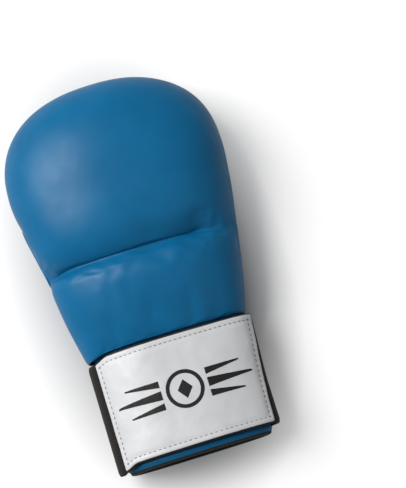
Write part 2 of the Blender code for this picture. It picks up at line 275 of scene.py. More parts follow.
def under_skin(s, depth, from_cavity=False, margin=0.0):
    """A grid of an inner layer for the skin's distances s. Its window edge stands straight over
    the skin's, further out by a margin."""
    lip = form(np.pi, LIP)[1] + margin
    front = FRONT_WALL - depth if from_cavity else depth
    turn = math.asin(min(1.0, (lip - FRONT_START) / (LENGTH - FRONT_START - front))
                     ** (FRONT_POWER / 2))
    layer_lip = FRONT_START + (TIP - FRONT_START) * turn / (math.pi / 2)
    s = np.interp(s, (0.0, FRONT_START, LIP, TIP), (0.0, FRONT_START, layer_lip, TIP))
    side = stations(s)[5] - depth if from_cavity else depth
    half = (stations(s)[0] - side) * np.maximum(np.cos(front_turn(s)), 0.0) ** (2 / FRONT_POWER)
    y = form(np.pi, s, depth, from_cavity)[..., 1]
    window = window_half(np.minimum(y, lip)) + margin
    share = np.clip(window / np.maximum(half, 1.0), 0.1, 0.985)
    theta = spread_columns(np.pi - np.arcsin(share ** (UNDER_POWER / 2)))
    return form(theta, s[:, None], depth, from_cavity)


def under_columns():
    """Which columns lie inside the palm window."""
    return np.abs(column_index()) >= SIDE_COLUMNS


def spaced(*stretches):
    """Distances along the form from stretches of (start, end, steps)."""
    rows = [np.linspace(a, b, steps, endpoint=False) for a, b, steps in stretches]
    return np.concatenate([*rows, [stretches[-1][1]]])


def grid_normals(points, closed=True):
    """Outward normals of a grid of points, rows along the hand and columns round it."""
    if closed:
        across = np.roll(points, -1, axis=1) - np.roll(points, 1, axis=1)
    else:
        across = np.gradient(points, axis=1)
    along = np.gradient(points, axis=0)
    normals = np.cross(across, along)
    length = np.linalg.norm(normals, axis=-1, keepdims=True)
    ahead = np.array((0.0, 1.0, 0.0))
    return np.where(length > 1e-6, normals / np.maximum(length, 1e-6), ahead)


def thumb_distance(points):
    """Distance of points from the thumb slot's middle line, seen from the side, and the nearest
    point on that line."""
    y = np.clip(points[..., 1], THUMB_START + THUMB_RADIUS, THUMB_END - THUMB_RADIUS)
    away = np.stack((points[..., 1] - y, points[..., 2] - THUMB_MIDDLE), axis=-1)
    return np.linalg.norm(away, axis=-1), y, away


def in_thumb_opening(points):
    return (thumb_distance(points)[0] < THUMB_RADIUS) & (points[..., 0] < THUMB_SIDE)


# ---------------------------------------------------------------- meshes

def to_metres(points):
    flat = np.asarray(points, float).reshape(-1, 3) * MM
    return flat + np.array((0.0, CAD_LOW.y, 0.0))


def new_object(name, vertices, faces, edges=()):
    data = bpy.data.meshes.new(name)
    data.from_pydata([tuple(v) for v in vertices], list(edges), [tuple(f) for f in faces])
    made = bpy.data.objects.new(name, data)
    bpy.context.scene.collection.objects.link(made)
    return made


def solid_between(name, outer, inner, keep, closed=True):
    """A closed solid between two grids of points, made only where keep says that a face is."""
    rows, columns = outer.shape[:2]
    if not closed:
        keep = np.concatenate([keep, np.zeros((rows - 1, 1), bool)], axis=1)
    under = rows * columns
    faces = []
    for r, c in zip(*np.nonzero(keep)):
        d = (c + 1) % columns
        quad = (r * columns + c, r * columns + d, (r + 1) * columns + d, (r + 1) * columns + c)
        faces.append(quad)
        faces.append(tuple(v + under for v in reversed(quad)))
        beside = (
            r > 0 and keep[r - 1, c],
            keep[r, d] if closed or d else False,
            r + 2 < rows and keep[r + 1, c],
            keep[r, c - 1] if closed or c else False,
        )
        for edge, joined in enumerate(beside):
            if not joined:
                a, b = quad[edge], quad[(edge + 1) % 4]
                faces.append((b, a, a + under, b + under))
    made = new_object(name, np.concatenate([to_metres(outer), to_metres(inner)]), faces)
    mesh = bmesh.new()
    mesh.from_mesh(made.data)
    bmesh.ops.remove_doubles(mesh, verts=mesh.verts, dist=0.01 * MM)
    loose = [vertex for vertex in mesh.verts if not vertex.link_faces]
    bmesh.ops.delete(mesh, geom=loose, context="VERTS")
    mesh.to_mesh(made.data)
    mesh.free()
    return made


def sheet_between(name, outer, inner):
    """A closed solid between two whole open grids of points."""
    keep = np.ones((outer.shape[0] - 1, outer.shape[1] - 1), bool)
    return solid_between(name, outer, inner, keep, closed=False)


def turn_outward(piece):
    """Turns a piece's faces to point outwards, and returns the piece."""
    mesh = bmesh.new()
    mesh.from_mesh(piece.data)
    bmesh.ops.recalc_face_normals(mesh, faces=mesh.faces)
    mesh.to_mesh(piece.data)
    mesh.free()
    return piece


def tube_solid(name, rings, joined):
    """A closed tube through rings of points, which runs round into itself or has flat ends."""
    count, around = rings.shape[:2]
    faces = []
    for r in range(count if joined else count - 1):
        n = (r + 1) % count
        for c in range(around):
            d = (c + 1) % around
            faces.append((r * around + c, n * around + c, n * around + d, r * around + d))
    if not joined:
        faces.append(tuple(range(around)))
        faces.append(tuple((count - 1) * around + c for c in reversed(range(around))))
    return turn_outward(new_object(name, to_metres(rings), faces))


def smooth_piece(piece, levels=1, bevel=0.0):
    """Subdivides and shades a piece smooth, and applies it all."""
    if bevel:
        edge = piece.modifiers.new("edges", "BEVEL")
        edge.width = bevel * MM
        edge.segments = 2
        edge.limit_method = "ANGLE"
        edge.angle_limit = math.radians(50)
    if levels:
        smooth = piece.modifiers.new("smooth", "SUBSURF")
        smooth.levels = smooth.render_levels = levels
    apply_modifiers(piece)
    piece.data.shade_smooth()
    return piece


def apply_modifiers(piece):
    """Replaces a piece's mesh with what its modifiers make of it."""
    bpy.context.view_layer.update()
    evaluated = piece.evaluated_get(bpy.context.evaluated_depsgraph_get())
    plain = bpy.data.meshes.new_from_object(evaluated)
    piece.modifiers.clear()
    piece.data = plain
    plain.name = piece.name


def dress(piece, finish, replaces=()):
    piece.data.materials.clear()
    piece.data.materials.append(finish)
    if replaces:
        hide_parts(*replaces)
    return piece


# ---------------------------------------------------------------- materials

class Finish:
    """A Principled material with a few helpers for procedural detail in Object coordinates."""

    def __init__(self, name, colour, roughness):
        self.material = bpy.data.materials.new(name)
        self.material.use_nodes = True
        self.nodes = self.material.node_tree.nodes
        self.links = self.material.node_tree.links
        self.shader = self.nodes["Principled BSDF"]
        self.shader.inputs["Base Color"].default_value = (*colour, 1.0)
        self.shader.inputs["Roughness"].default_value = roughness
        self.where = self.nodes.new("ShaderNodeTexCoord").outputs["Object"]
        self.bump = None

    def stretched(self, scale):
        mapping = self.nodes.new("ShaderNodeMapping")
        mapping.inputs["Scale"].default_value = scale
        self.links.new(self.where, mapping.inputs["Vector"])
        return mapping.outputs["Vector"]

    def noise(self, scale, detail=3.0):
        node = self.nodes.new("ShaderNodeTexNoise")
        node.inputs["Scale"].default_value = scale
        node.inputs["Detail"].default_value = detail
        self.links.new(self.where, node.inputs["Vector"])
        return node.outputs["Fac"]

    def cells(self, scale):
        node = self.nodes.new("ShaderNodeTexVoronoi")
        node.inputs["Scale"].default_value = scale
        self.links.new(self.where, node.inputs["Vector"])
        return node.outputs["Distance"]

    def bands(self, scale, axis, distortion=0.0):
        node = self.nodes.new("ShaderNodeTexWave")
        node.bands_direction = axis
        node.inputs["Scale"].default_value = scale
        node.inputs["Distortion"].default_value = distortion
        self.links.new(self.where, node.inputs["Vector"])
        return node.outputs["Fac"]

    def maths(self, operation, *values):
        """A sum on values; LENGTH measures a vector."""
        kind = "ShaderNodeVectorMath" if operation == "LENGTH" else "ShaderNodeMath"
        node = self.nodes.new(kind)
        node.operation = operation
        for value, socket in zip(values, node.inputs):
            self.links.new(value, socket)
        return node.outputs["Value"]

    def ranged(self, value, low, high, start=0.3, end=0.7):
        node = self.nodes.new("ShaderNodeMapRange")
        node.inputs["From Min"].default_value = start
        node.inputs["From Max"].default_value = end
        node.inputs["To Min"].default_value = low
        node.inputs["To Max"].default_value = high
        self.links.new(value, node.inputs["Value"])
        return node.outputs["Result"]

    def colours(self, value, first, second, start=0.3, end=0.7):
        ramp = self.nodes.new("ShaderNodeValToRGB")
        ramp.color_ramp.elements[0].position = start
        ramp.color_ramp.elements[0].color = (*first, 1.0)
        ramp.color_ramp.elements[1].position = end
        ramp.color_ramp.elements[1].color = (*second, 1.0)
        self.links.new(value, ramp.inputs["Fac"])
        self.links.new(ramp.outputs["Color"], self.shader.inputs["Base Color"])

    def rough(self, value, low, high):
        self.links.new(self.ranged(value, low, high), self.shader.inputs["Roughness"])

    def raise_by(self, height, strength, distance):
        node = self.nodes.new("ShaderNodeBump")
        node.inputs["Strength"].default_value = strength
        node.inputs["Distance"].default_value = distance
        self.links.new(height, node.inputs["Height"])
        if self.bump:
            self.links.new(self.bump, node.inputs["Normal"])
        self.bump = node.outputs["Normal"]
        self.links.new(self.bump, self.shader.inputs["Normal"])

    def set(self, **values):
        for name, value in values.items():
            self.shader.inputs[name.replace("_", " ")].default_value = value


def shade(colour, share):
    return tuple(min(1.0, channel * share) for channel in colour)


def vinyl(name, colour, roughness=0.4):
    """Smooth coated vinyl: faint pores, slow changes of tone and gloss, and soft ripples."""
    made = Finish(name, colour, roughness)
    slow = made.noise(28.0, 2.0)
    made.colours(slow, shade(colour, 0.93), shade(colour, 1.07))
    made.rough(made.noise(70.0, 4.0), roughness - 0.05, roughness + 0.06)
    made.raise_by(made.noise(45.0, 2.0), 0.25, 0.0006)
    made.raise_by(made.cells(1500.0), 0.12, 0.00012)
    made.set(Specular_IOR_Level=0.24)
    return made.material


def woven_elastic(name, colour):
    """Ribbed elastic: cords along the strap's length, crossed by fine threads."""
    made = Finish(name, colour, 0.78)
    ribs = made.bands(205.0, "Y", 0.4)
    threads = made.bands(420.0, "X", 1.2)
    made.colours(ribs, shade(colour, 0.55), shade(colour, 1.35), 0.1, 0.9)
    made.raise_by(ribs, 0.7, 0.0005)
    made.raise_by(threads, 0.35, 0.0002)
    made.raise_by(made.noise(900.0, 3.0), 0.3, 0.0002)
    made.set(Sheen_Weight=0.06, Sheen_Roughness=0.5, Specular_IOR_Level=0.2)
    return made.material


def knit(name, colour, scale=520.0):
    """Close knitted cloth with a soft nap."""
    made = Finish(name, colour, 0.88)
    loops = made.cells(scale)
    made.colours(loops, shade(colour, 0.6), shade(colour, 1.25), 0.1, 0.6)
    made.raise_by(loops, 0.6, 0.0004)
    made.raise_by(made.noise(1200.0, 3.0), 0.4, 0.0002)
    made.set(Sheen_Weight=0.08, Sheen_Roughness=0.6, Specular_IOR_Level=0.2)
    return made.material


def pile(name, colour):
    """Hook and loop tape."""
    made = Finish(name, colour, 0.95)
    tufts = made.noise(650.0, 4.0)
    made.colours(tufts, shade(colour, 0.4), shade(colour, 1.6))
    made.raise_by(tufts, 1.0, 0.0009)
    made.set(Sheen_Weight=0.5, Sheen_Roughness=0.5)
    return made.material


def label_vinyl(name, colour):
    """White strap vinyl: shallow ripples, a faint grain and slightly uneven gloss."""
    made = Finish(name, colour, 0.42)
    made.colours(made.noise(38.0, 3.0), shade(colour, 0.93), shade(colour, 1.03))
    made.rough(made.noise(120.0, 3.0), 0.34, 0.5)
    made.raise_by(made.noise(75.0, 3.0), 0.6, 0.0008)
    made.raise_by(made.cells(900.0), 0.15, 0.00015)
    return made.material


def foam_finish(name, colour):
    made = Finish(name, colour, 0.95)
    pores = made.cells(800.0)
    made.colours(pores, shade(colour, 0.8), shade(colour, 1.05), 0.0, 0.5)
    made.raise_by(pores, 0.5, 0.0004)
    return made.material


def thread(name, colour):
    made = Finish(name, colour, 0.6)
    made.raise_by(made.bands(900.0, "DIAGONAL"), 0.5, 0.0001)
    return made.material


def ink(name, colour):
    made = Finish(name, colour, 0.6)
    made.rough(made.noise(400.0, 2.0), 0.52, 0.7)
    made.set(Specular_IOR_Level=0.25)
    return made.material


# ---------------------------------------------------------------- stitches

def stitch_tree():
    """Geometry Nodes that set stitches along a line: a thread capsule at every pitch."""
    tree = bpy.data.node_groups.new("stitch_line", "GeometryNodeTree")
    face = tree.interface
    face.new_socket("Geometry", in_out="INPUT", socket_type="NodeSocketGeometry")
    for name in ("Pitch", "Stitch Length", "Thread Radius"):
        face.new_socket(name, in_out="INPUT", socket_type="NodeSocketFloat")
    face.new_socket("Thread", in_out="INPUT", socket_type="NodeSocketMaterial")
    face.new_socket("Geometry", in_out="OUTPUT", socket_type="NodeSocketGeometry")
    node = tree.nodes.new
    link = tree.links.new
    given = node("NodeGroupInput")
    result = node("NodeGroupOutput")
    line = node("GeometryNodeMeshToCurve")
    points = node("GeometryNodeCurveToPoints")
    points.mode = "LENGTH"
    align = node("FunctionNodeAlignRotationToVector")
    align.axis = "X"
    bead = node("GeometryNodeMeshUVSphere")
    bead.inputs["Segments"].default_value = 6
    bead.inputs["Rings"].default_value = 4
    bead.inputs["Radius"].default_value = 1.0
    size = node("ShaderNodeCombineXYZ")
    half = node("ShaderNodeMath")
    half.operation = "MULTIPLY"
    half.inputs[1].default_value = 0.5
    shape = node("GeometryNodeTransform")
    copies = node("GeometryNodeInstanceOnPoints")
    real = node("GeometryNodeRealizeInstances")
    paint = node("GeometryNodeSetMaterial")
    link(given.outputs["Geometry"], line.inputs["Mesh"])
    link(line.outputs["Curve"], points.inputs["Curve"])
    link(given.outputs["Pitch"], points.inputs["Length"])
    link(given.outputs["Stitch Length"], half.inputs[0])
    link(half.outputs[0], size.inputs["X"])
    link(given.outputs["Thread Radius"], size.inputs["Y"])
    link(given.outputs["Thread Radius"], size.inputs["Z"])
    link(bead.outputs["Mesh"], shape.inputs["Geometry"])
    link(size.outputs["Vector"], shape.inputs["Scale"])
    link(points.outputs["Tangent"], align.inputs["Vector"])
    link(points.outputs["Points"], copies.inputs["Points"])
    link(shape.outputs["Geometry"], copies.inputs["Instance"])
    link(align.outputs["Rotation"], copies.inputs["Rotation"])
    link(copies.outputs["Instances"], real.inputs["Geometry"])
    link(real.outputs["Geometry"], paint.inputs["Geometry"])
    link(given.outputs["Thread"], paint.inputs["Material"])
    link(paint.outputs["Geometry"], result.inputs["Geometry"])
    return tree


def stitch_line(name, lines, pitch, length, radius, finish):
    """Stitches along lines of points in millimetres, as one plain mesh."""
    tree = bpy.data.node_groups.get("stitch_line") or stitch_tree()
    vertices = np.concatenate([to_metres(line) for line in lines])
    edges, start = [], 0
    for line in lines:
        edges += [(start + i, start + i + 1) for i in range(len(line) - 1)]
        start += len(line)
    made = new_object(name, vertices, (), edges)
    sew = made.modifiers.new("sew", "NODES")
    sew.node_group = tree
    values = {"Pitch": pitch * MM, "Stitch Length": length * MM, "Thread Radius": radius * MM,
              "Thread": finish}
    for socket in tree.interface.items_tree:
        if socket.in_out == "INPUT" and socket.name in values:
            sew[socket.identifier] = values[socket.name]
    apply_modifiers(made)
    made.data.shade_smooth()
    return made


# ---------------------------------------------------------------- the skin's shape

def groove(points, depth):
    """How far the skin is drawn in by the sewn fold: a sharp line under the fist pad's rounded
    edge. The fold runs to the thumb edge, and dies out before the little finger edge."""
    along = points[..., 1] - CREASE
    away = np.abs(along)
    valley = np.where(along > 0, np.exp(-((away / 9.5) ** 1.5)), np.exp(-((away / 5.0) ** 1.3)))
    line = 0.35 * np.exp(-away / 1.8) + 0.65 * valley
    reach = 1 - fade(40.0, 64.0, points[..., 0])
    high = 0.12 + 0.88 * fade(26.0, 50.0, points[..., 2])
    return depth * line * reach * high


def field(points, size, seed):
    """A smooth noise from -1 to 1 at points in millimetres."""
    flat = points.reshape(-1, 3) / size + seed
    return np.array([noise.noise(Vector(p)) for p in flat]).reshape(points.shape[:-1])


def soft_folds(points):
    """Slow unevenness of the pads, gathers above the strap and a pucker where the fold dies out."""
    x, y, z = points[..., 0], points[..., 1], points[..., 2]
    slow = 0.9 * field(points * np.array((1.0, 0.8, 0.6)), 42.0, 3.1)
    gathers = field(points * np.array((1.0, 0.22, 0.3)), 13.0, 8.4) * (1 - fade(96.0, 134.0, y))
    near_fold = np.exp(-(((y - CREASE) / 13.0) ** 2))
    tucks = field(points * np.array((1.0, 0.35, 0.4)), 15.0, 5.2) * near_fold
    pucker = np.exp(-((x - 57.0) / 5.0) ** 2 - ((y - CREASE) / 4.0) ** 2) * fade(20.0, 40.0, z)
    return slow + 0.7 * gathers + 0.3 * tucks - 1.2 * pucker


def wrist_roll(points):
    """The skin with its wrist end rolled out over the strap's edge, most on the thumb side."""
    x, y = points[..., 0], points[..., 1]
    roll = fade(101.0, 87.5, y) * fade(84.3, 85.6, y)
    thumb_side = fade(-40.0, -56.0, x)
    rolled = points.copy()
    rolled[..., 1] -= roll * (3.0 + 2.6 * thumb_side)
    return rolled


def skin_rows():
    return spaced(
        (STRAP_END - 0.7, PANEL_START, 7), (PANEL_START, CREASE - 10, 13),
        (CREASE - 10, CREASE + 12, 18), (CREASE + 12, FRONT_START, 14),
        (FRONT_START, LIP, 12), (LIP, TIP, 15),
    )


def window_roll(rows):
    """The depth to which the skin turns in along the edges of the palm window."""
    under = under_columns()
    sides = under & ~(np.roll(under, 1) & np.roll(under, -1))
    beside = (rows >= PANEL_START - 0.1) & (rows <= LIP + 0.1)
    at_lip = np.abs(rows - LIP) < 0.1
    return EDGE_ROLL * ((beside[:, None] & sides) | (at_lip[:, None] & under))


def window_faces(rows, start, end):
    """Which faces of the form's grid lie in the palm window between two distances."""
    under = under_columns()
    columns = under & np.roll(under, -1)
    middle = (rows[:-1] + rows[1:]) / 2
    return ((middle > start) & (middle < end))[:, None] & columns[None, :]


def cut_thumb(points, keep):
    """Takes the thumb opening out of the faces, and sets the vertices at its edge on the slot."""
    middle = (
        points[:-1] + points[1:] + np.roll(points[:-1], -1, 1) + np.roll(points[1:], -1, 1)
    ) / 4
    cut = in_thumb_opening(middle)
    edge = np.zeros(points.shape[:2], bool)
    whole = np.zeros(points.shape[:2], bool)
    for faces, marks in ((cut, edge), (~cut, whole)):
        for rows in (slice(None, -1), slice(1, None)):
            marks[rows] |= faces | np.roll(faces, 1, axis=1)
    edge &= whole
    distance, y, away = thumb_distance(points)
    outward = away / np.maximum(distance, 1e-6)[..., None]
    moved = points.copy()
    moved[..., 1] = np.where(edge, y + outward[..., 0] * THUMB_RADIUS, points[..., 1])
    moved[..., 2] = np.where(
        edge, THUMB_MIDDLE + outward[..., 1] * THUMB_RADIUS, points[..., 2]
    )
    return moved, keep & ~cut, edge


# The skin's settling: its frames, how far a point may move, and how far it may sink inwards.
SETTLE_FRAMES = 20
MOST_MOVED = 2.6
MOST_SUNK = 0.5


def settle(points, normals, keep, pinned, pressure):
    """Lets the skin settle as cloth blown out by the foam, and returns its points, none moved
    too far or sunk into the foam."""
    columns = points.shape[1]
    faces = [
        (r * columns + c, r * columns + (c + 1) % columns,
         (r + 1) * columns + (c + 1) % columns, (r + 1) * columns + c)
        for r, c in zip(*np.nonzero(keep))
    ]
    start = to_metres(points)
    skin = new_object("settling_skin", start, faces)
    group = skin.vertex_groups.new(name="sewn")
    group.add([int(v) for v in np.nonzero(pinned.ravel())[0]], 1.0, "REPLACE")
    cloth = skin.modifiers.new("cloth", "CLOTH")
    settings = cloth.settings
    settings.quality = 6
    settings.mass = 0.25
    settings.tension_stiffness = settings.compression_stiffness = 40
    settings.shear_stiffness = 20
    settings.bending_stiffness = 2.0
    settings.shrink_min = -0.014
    settings.use_pressure = True
    settings.uniform_pressure_force = pressure
    settings.vertex_group_mass = "sewn"
    settings.effector_weights.gravity = 0.0
    cloth.point_cache.frame_start = 1
    cloth.point_cache.frame_end = SETTLE_FRAMES
    scene = bpy.context.scene
    for step in range(1, SETTLE_FRAMES + 1):
        scene.frame_set(step)
    evaluated = skin.evaluated_get(bpy.context.evaluated_depsgraph_get())
    settled = np.empty(len(start) * 3)
    evaluated.data.vertices.foreach_get("co", settled)
    moved = (settled.reshape(-1, 3) - start) / MM
    bpy.data.objects.remove(skin)
    scene.frame_set(1)
    length = np.linalg.norm(moved, axis=1, keepdims=True)
    moved *= np.minimum(1.0, MOST_MOVED / np.maximum(length, 1e-9))
    moved = moved.reshape(points.shape)
    out = np.sum(moved * normals, axis=-1, keepdims=True)
    sunk = np.minimum(out + MOST_SUNK, 0.0)
    return points + moved - sunk * normals


def skin_grid(sizes):
    """The outer surface of the vinyl skin, and the faces that it has."""
    rows = skin_rows()
    theta = ring_angles(rows)
    points = wrist_roll(form(theta, rows[:, None], window_roll(rows)))
    normals = grid_normals(points)
    crease = groove(points, sizes.crease_depth / MM)
    edge = window_angle(rows)[:, None] - 0.02
    under = np.abs(theta) > edge
    folds = soft_folds(points) * fade(edge, edge - 0.4, np.abs(theta))
    folds *= (fade(STRAP_END, STRAP_END + 10.0, rows) * fade(TIP - 1.0, TIP - 20.0, rows))[:, None]
    points = points + normals * (folds - crease)[..., None]
    keep = ~window_faces(rows, PANEL_START, LIP)
    points, keep, thumb = cut_thumb(points, keep)
    line = (np.abs(points[..., 1] - CREASE) < 1.0) & (crease > 1.0)
    ends = np.zeros_like(line)
    ends[:4] = True
    ends[-2:] = True
    pinned = line | ends | thumb | under
    start = points - normals * 0.8
    points = settle(start, normals, keep, pinned, sizes.pad_pressure)
    return points, keep


# ---------------------------------------------------------------- palm patches

def under_point(x, y, depth):
    """Points of the palm side of the glove form under x, y, at a depth in from its outside."""
    x, y, depth = np.broadcast_arrays(*(np.asarray(v, float) for v in (x, y, depth)))
    half, _, widest, under, _, _, _ = stations(y)
    past = np.clip((y - FRONT_START) / (LENGTH - FRONT_START - depth), 0.0, 0.999)
    shrink = (1 - past ** FRONT_POWER) ** (1 / FRONT_POWER)
    share = np.clip(np.abs(x) / ((half - depth) * shrink), 0.0, 0.999)
    drop = (1 - share ** UNDER_POWER) ** (1 / UNDER_POWER)
    z = widest - (widest - under - depth) * shrink * drop
    return np.stack((x, y, soft_floor(z, depth)), axis=-1)


def window_half(y):
    """Half the palm window's width at a distance from the wrist end."""
    past = np.clip((y - FRONT_START) / (LENGTH - FRONT_START), 0.0, 0.999)
    return stations(y)[0] * (1 - past ** FRONT_POWER) ** (1 / FRONT_POWER) - RIM


def crowned(u, v, squareness=6.0):
    """1 over the middle of a pad and 0 at its edges, for u and v from -1 to 1."""
    return np.sqrt((1 - np.abs(u) ** squareness) * (1 - np.abs(v) ** squareness))


def palm_patch(name, start, end, left, right, outer, inner, steps=(16, 28)):
    """A piece of the palm between two distances and two edges, which may depend on y; outer and
    inner give its depths from u, v, which run from -1 to 1 across and along it."""
    v, u = np.meshgrid(
        np.sin(np.linspace(-np.pi / 2, np.pi / 2, steps[0])),
        np.sin(np.linspace(-np.pi / 2, np.pi / 2, steps[1])),
        indexing="ij",
    )
    y = start + (end - start) * (v + 1) / 2
    low, high = left(y), right(y)
    x = low + (high - low) * (u + 1) / 2
    outside = under_point(x, y, outer(u, v, x, y))
    inside = under_point(x, y, inner(u, v, x, y))
    return smooth_piece(sheet_between(name, outside[:, ::-1], inside[:, ::-1]))


def flat(value):
    """A depth or an edge that is the same all over a piece."""
    return lambda place, *_: value + 0 * place


# ---------------------------------------------------------------- the strap's oval

STRAP_SAG = 3.4           # how far the strap slips towards the wrist at its fold, thumb side
STRAP_MIDDLE = 23.0       # height of the oval's widest place


def strap_oval(depth, count=721):
    """Points (x, z) round the strap's oval, from the palm side up over the back."""
    angle = np.linspace(-np.pi, np.pi, count)
    up = np.cos(angle)
    squareness = np.where(up >= 0, TOP_POWER, UNDER_POWER)
    x = (STRAP_HALF - depth) * power(np.sin(angle), squareness)
    rise = np.where(up >= 0, STRAP_TOP - depth - STRAP_MIDDLE, STRAP_MIDDLE + 1.0 - depth)
    return x, soft_floor(STRAP_MIDDLE + rise * power(up, squareness), depth, 0.6)


OVAL_X, OVAL_Z = strap_oval(0.0)
OVAL_ARC = np.concatenate([[0.0], np.cumsum(np.hypot(np.diff(OVAL_X), np.diff(OVAL_Z)))])
OVAL_ARC -= OVAL_ARC[len(OVAL_ARC) // 2]


def strap_arc(x_or_z, side, by_height=False):
    """The distance from the crown, along the oval, of a place on one side of the back."""
    branch = (OVAL_ARC * side >= 0) & (OVAL_Z > 4.0)
    values = OVAL_Z[branch] if by_height else np.abs(OVAL_X[branch])
    nearest = np.argmin(np.abs(values - abs(x_or_z)))
    return OVAL_ARC[branch][nearest]


FLAP_END = strap_arc(31.0, 1, by_height=True)
FLARE_FROM, FLARE_TO = FLAP_END - 34.0, FLAP_END + 4.0
FLARE = 5.0               # how far the flap's free end stands off the cuff


def strap_lift(arc, y):
    """How far the strap stands off its oval: a slack wave, and a free end that flares out."""
    free = fade(FLARE_FROM, FLARE_TO, arc) * (0.5 + 0.5 * fade(20.0, STRAP_END, y))
    wave = 0.35 * np.sin(arc / 17.0 + y / 23.0) + 0.25 * np.sin(arc / 9.0 - y / 31.0)
    return FLARE * free + wave * fade(-60.0, -30.0, arc)


def strap_point(arc, y, depth, lifted=True):
    """Points on the strap from their distance round the oval, at a depth under its outside."""
    arc, y, depth = np.broadcast_arrays(*(np.asarray(v, float) for v in (arc, y, depth)))
    x = np.interp(arc, OVAL_ARC, OVAL_X)
    z = np.interp(arc, OVAL_ARC, OVAL_Z)
    slope_x = np.interp(arc + 0.8, OVAL_ARC, OVAL_X) - np.interp(arc - 0.8, OVAL_ARC, OVAL_X)
    slope_z = np.interp(arc + 0.8, OVAL_ARC, OVAL_Z) - np.interp(arc - 0.8, OVAL_ARC, OVAL_Z)
    length = np.maximum(np.hypot(slope_x, slope_z), 1e-9)
    out = (strap_lift(arc, y) if lifted else 0.0) - depth
    thumb_side = fade(-42.0, -54.0, x) * fade(4.0, 16.0, z)
    y = y - STRAP_SAG * thumb_side
    return np.stack((x - slope_z / length * out, y, z + slope_x / length * out), axis=-1)


def strap_sheet(name, arcs, ys, outer, inner, lifted=True):
    """A piece of the strap between arcs and ys; outer and inner give its depths at arc, y."""
    y, arc = np.meshgrid(ys, arcs, indexing="ij")
    outside = strap_point(arc, y, outer(arc, y), lifted)
    inside = strap_point(arc, y, inner(arc, y), lifted)
    return sheet_between(name, outside, inside)


# ---------------------------------------------------------------- sizes and colours

class MittSizes(bpy.types.PropertyGroup):
    crease_depth: FloatProperty(
        name="Fold depth", description="Depth of the sewn fold across the back",
        default=9.5 * MM, unit="LENGTH")
    pad_pressure: FloatProperty(
        name="Pad pressure", description="Pressure of the foam against the skin as it settles",
        default=3.0, min=0.0)
    palm_crown: FloatProperty(
        name="Palm crown", description="How far the palm pads round off towards their seams",
        default=3.2 * MM, unit="LENGTH")
    stitch_pitch: FloatProperty(
        name="Stitch pitch", description="Distance from one stitch to the next",
        default=3.5 * MM, unit="LENGTH")
    stitch_length: FloatProperty(
        name="Stitch length", description="Length of thread that shows at each stitch",
        default=2.4 * MM, unit="LENGTH")
    thread_radius: FloatProperty(
        name="Thread radius", description="Radius of the sewing thread",
        default=0.28 * MM, unit="LENGTH")
    emblem_width: FloatProperty(
        name="Emblem width", description="Width of the printed emblem on the strap",
        default=95.0 * MM, unit="LENGTH")


def colour_property(name, description, default):
    return FloatVectorProperty(
        name=name, description=description, subtype="COLOR", size=3, min=0.0, max=1.0,
        default=default)


class MittColours(bpy.types.PropertyGroup):
    vinyl: colour_property("Vinyl", "Colour of the vinyl skin", (0.002, 0.124, 0.282))
    # the lower palm's darker vinyl, also put on the cuff's skin as painted shade
    palm_vinyl: colour_property("Palm vinyl", "Colour of the lower palm", (0.002, 0.098, 0.228))
    fabric: colour_property("Fabric", "Colour of the knitted fabric", (0.013, 0.012, 0.011))
    elastic: colour_property("Elastic", "Colour of the strap's elastic", (0.015, 0.014, 0.013))
    label: colour_property("Label", "Colour of the strap's label", (0.6, 0.605, 0.615))
    emblem: colour_property("Emblem", "Colour of the printed emblem", (0.012, 0.012, 0.013))
    thread: colour_property("Thread", "Colour of the thread on the label", (0.13, 0.13, 0.14))
    blue_thread: colour_property("Blue thread", "Colour of the seams' thread", (0.012, 0.15, 0.36))
    foam: colour_property("Foam", "Colour of the foam pads", (0.62, 0.58, 0.5))
    lining: colour_property("Lining", "Colour of the lining cloth", (0.008, 0.07, 0.17))


class MittStage(bpy.types.PropertyGroup):
    lean: FloatProperty(
        name="Lean", description="How far the mitt leans to the left in the view",
        default=math.radians(17.1), subtype="ANGLE")
    tilt: FloatProperty(
        name="Tilt", description="How far the camera stands off straight above, to the wrist",
        default=math.radians(11.0), subtype="ANGLE")
    distance: FloatProperty(
        name="Distance", description="Distance from the camera to the mitt",
        default=1.108, unit="LENGTH")
    lens: FloatProperty(
        name="Lens", description="Focal length", default=120.0, unit="CAMERA")
    aim_right: FloatProperty(
        name="Aim right", description="How far right of the mitt the camera aims",
        default=39.5 * MM, unit="LENGTH")
    aim_up: FloatProperty(
        name="Aim up", description="How far above the mitt's middle the camera aims",
        default=15.5 * MM, unit="LENGTH")
    key_light: FloatProperty(
        name="Key light", description="Power of the large soft light", default=106.0,
        unit="POWER")


def finish_named(name):
    """One of the mitt's finishes, mixed the first time that it is asked for."""
    found = bpy.data.materials.get("mitt_" + name)
    if found:
        return found
    colours = bpy.context.scene.mitt_colours
    mixing = {
        "vinyl": (vinyl, colours.vinyl),
        "palm_vinyl": (vinyl, colours.palm_vinyl, 0.5),
        "fabric": (knit, colours.fabric),
        "elastic": (woven_elastic, colours.elastic),
        "label": (label_vinyl, colours.label),
        "emblem": (ink, colours.emblem),
        "thread": (thread, colours.thread),
        "blue_thread": (thread, colours.blue_thread),
        "tape": (pile, (0.03, 0.03, 0.03)),
        "foam": (foam_finish, colours.foam),
        "lining": (knit, colours.lining, 700.0),
    }
    mix, colour, *more = mixing[name]
    return mix("mitt_" + name, tuple(colour), *more)


def bend_at_fold(piece, low=FOLD - 12, high=FOLD + 14):
    """Bakes a piece's place into its mesh. The points at the two distances from the wrist end, low
    and high, are made but not used.
    """
    start, end = ((0, CAD_LOW.y + y * MM, 0) for y in (low, high))
    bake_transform(piece)
    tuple(start)
    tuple(end)


class MittOperator(bpy.types.Operator):
    """What the mitt's operators share."""

    bl_options = {"REGISTER", "UNDO"}

    @property
    def sizes(self):
        return bpy.context.scene.mitt_sizes


# ---------------------------------------------------------------- the padded glove

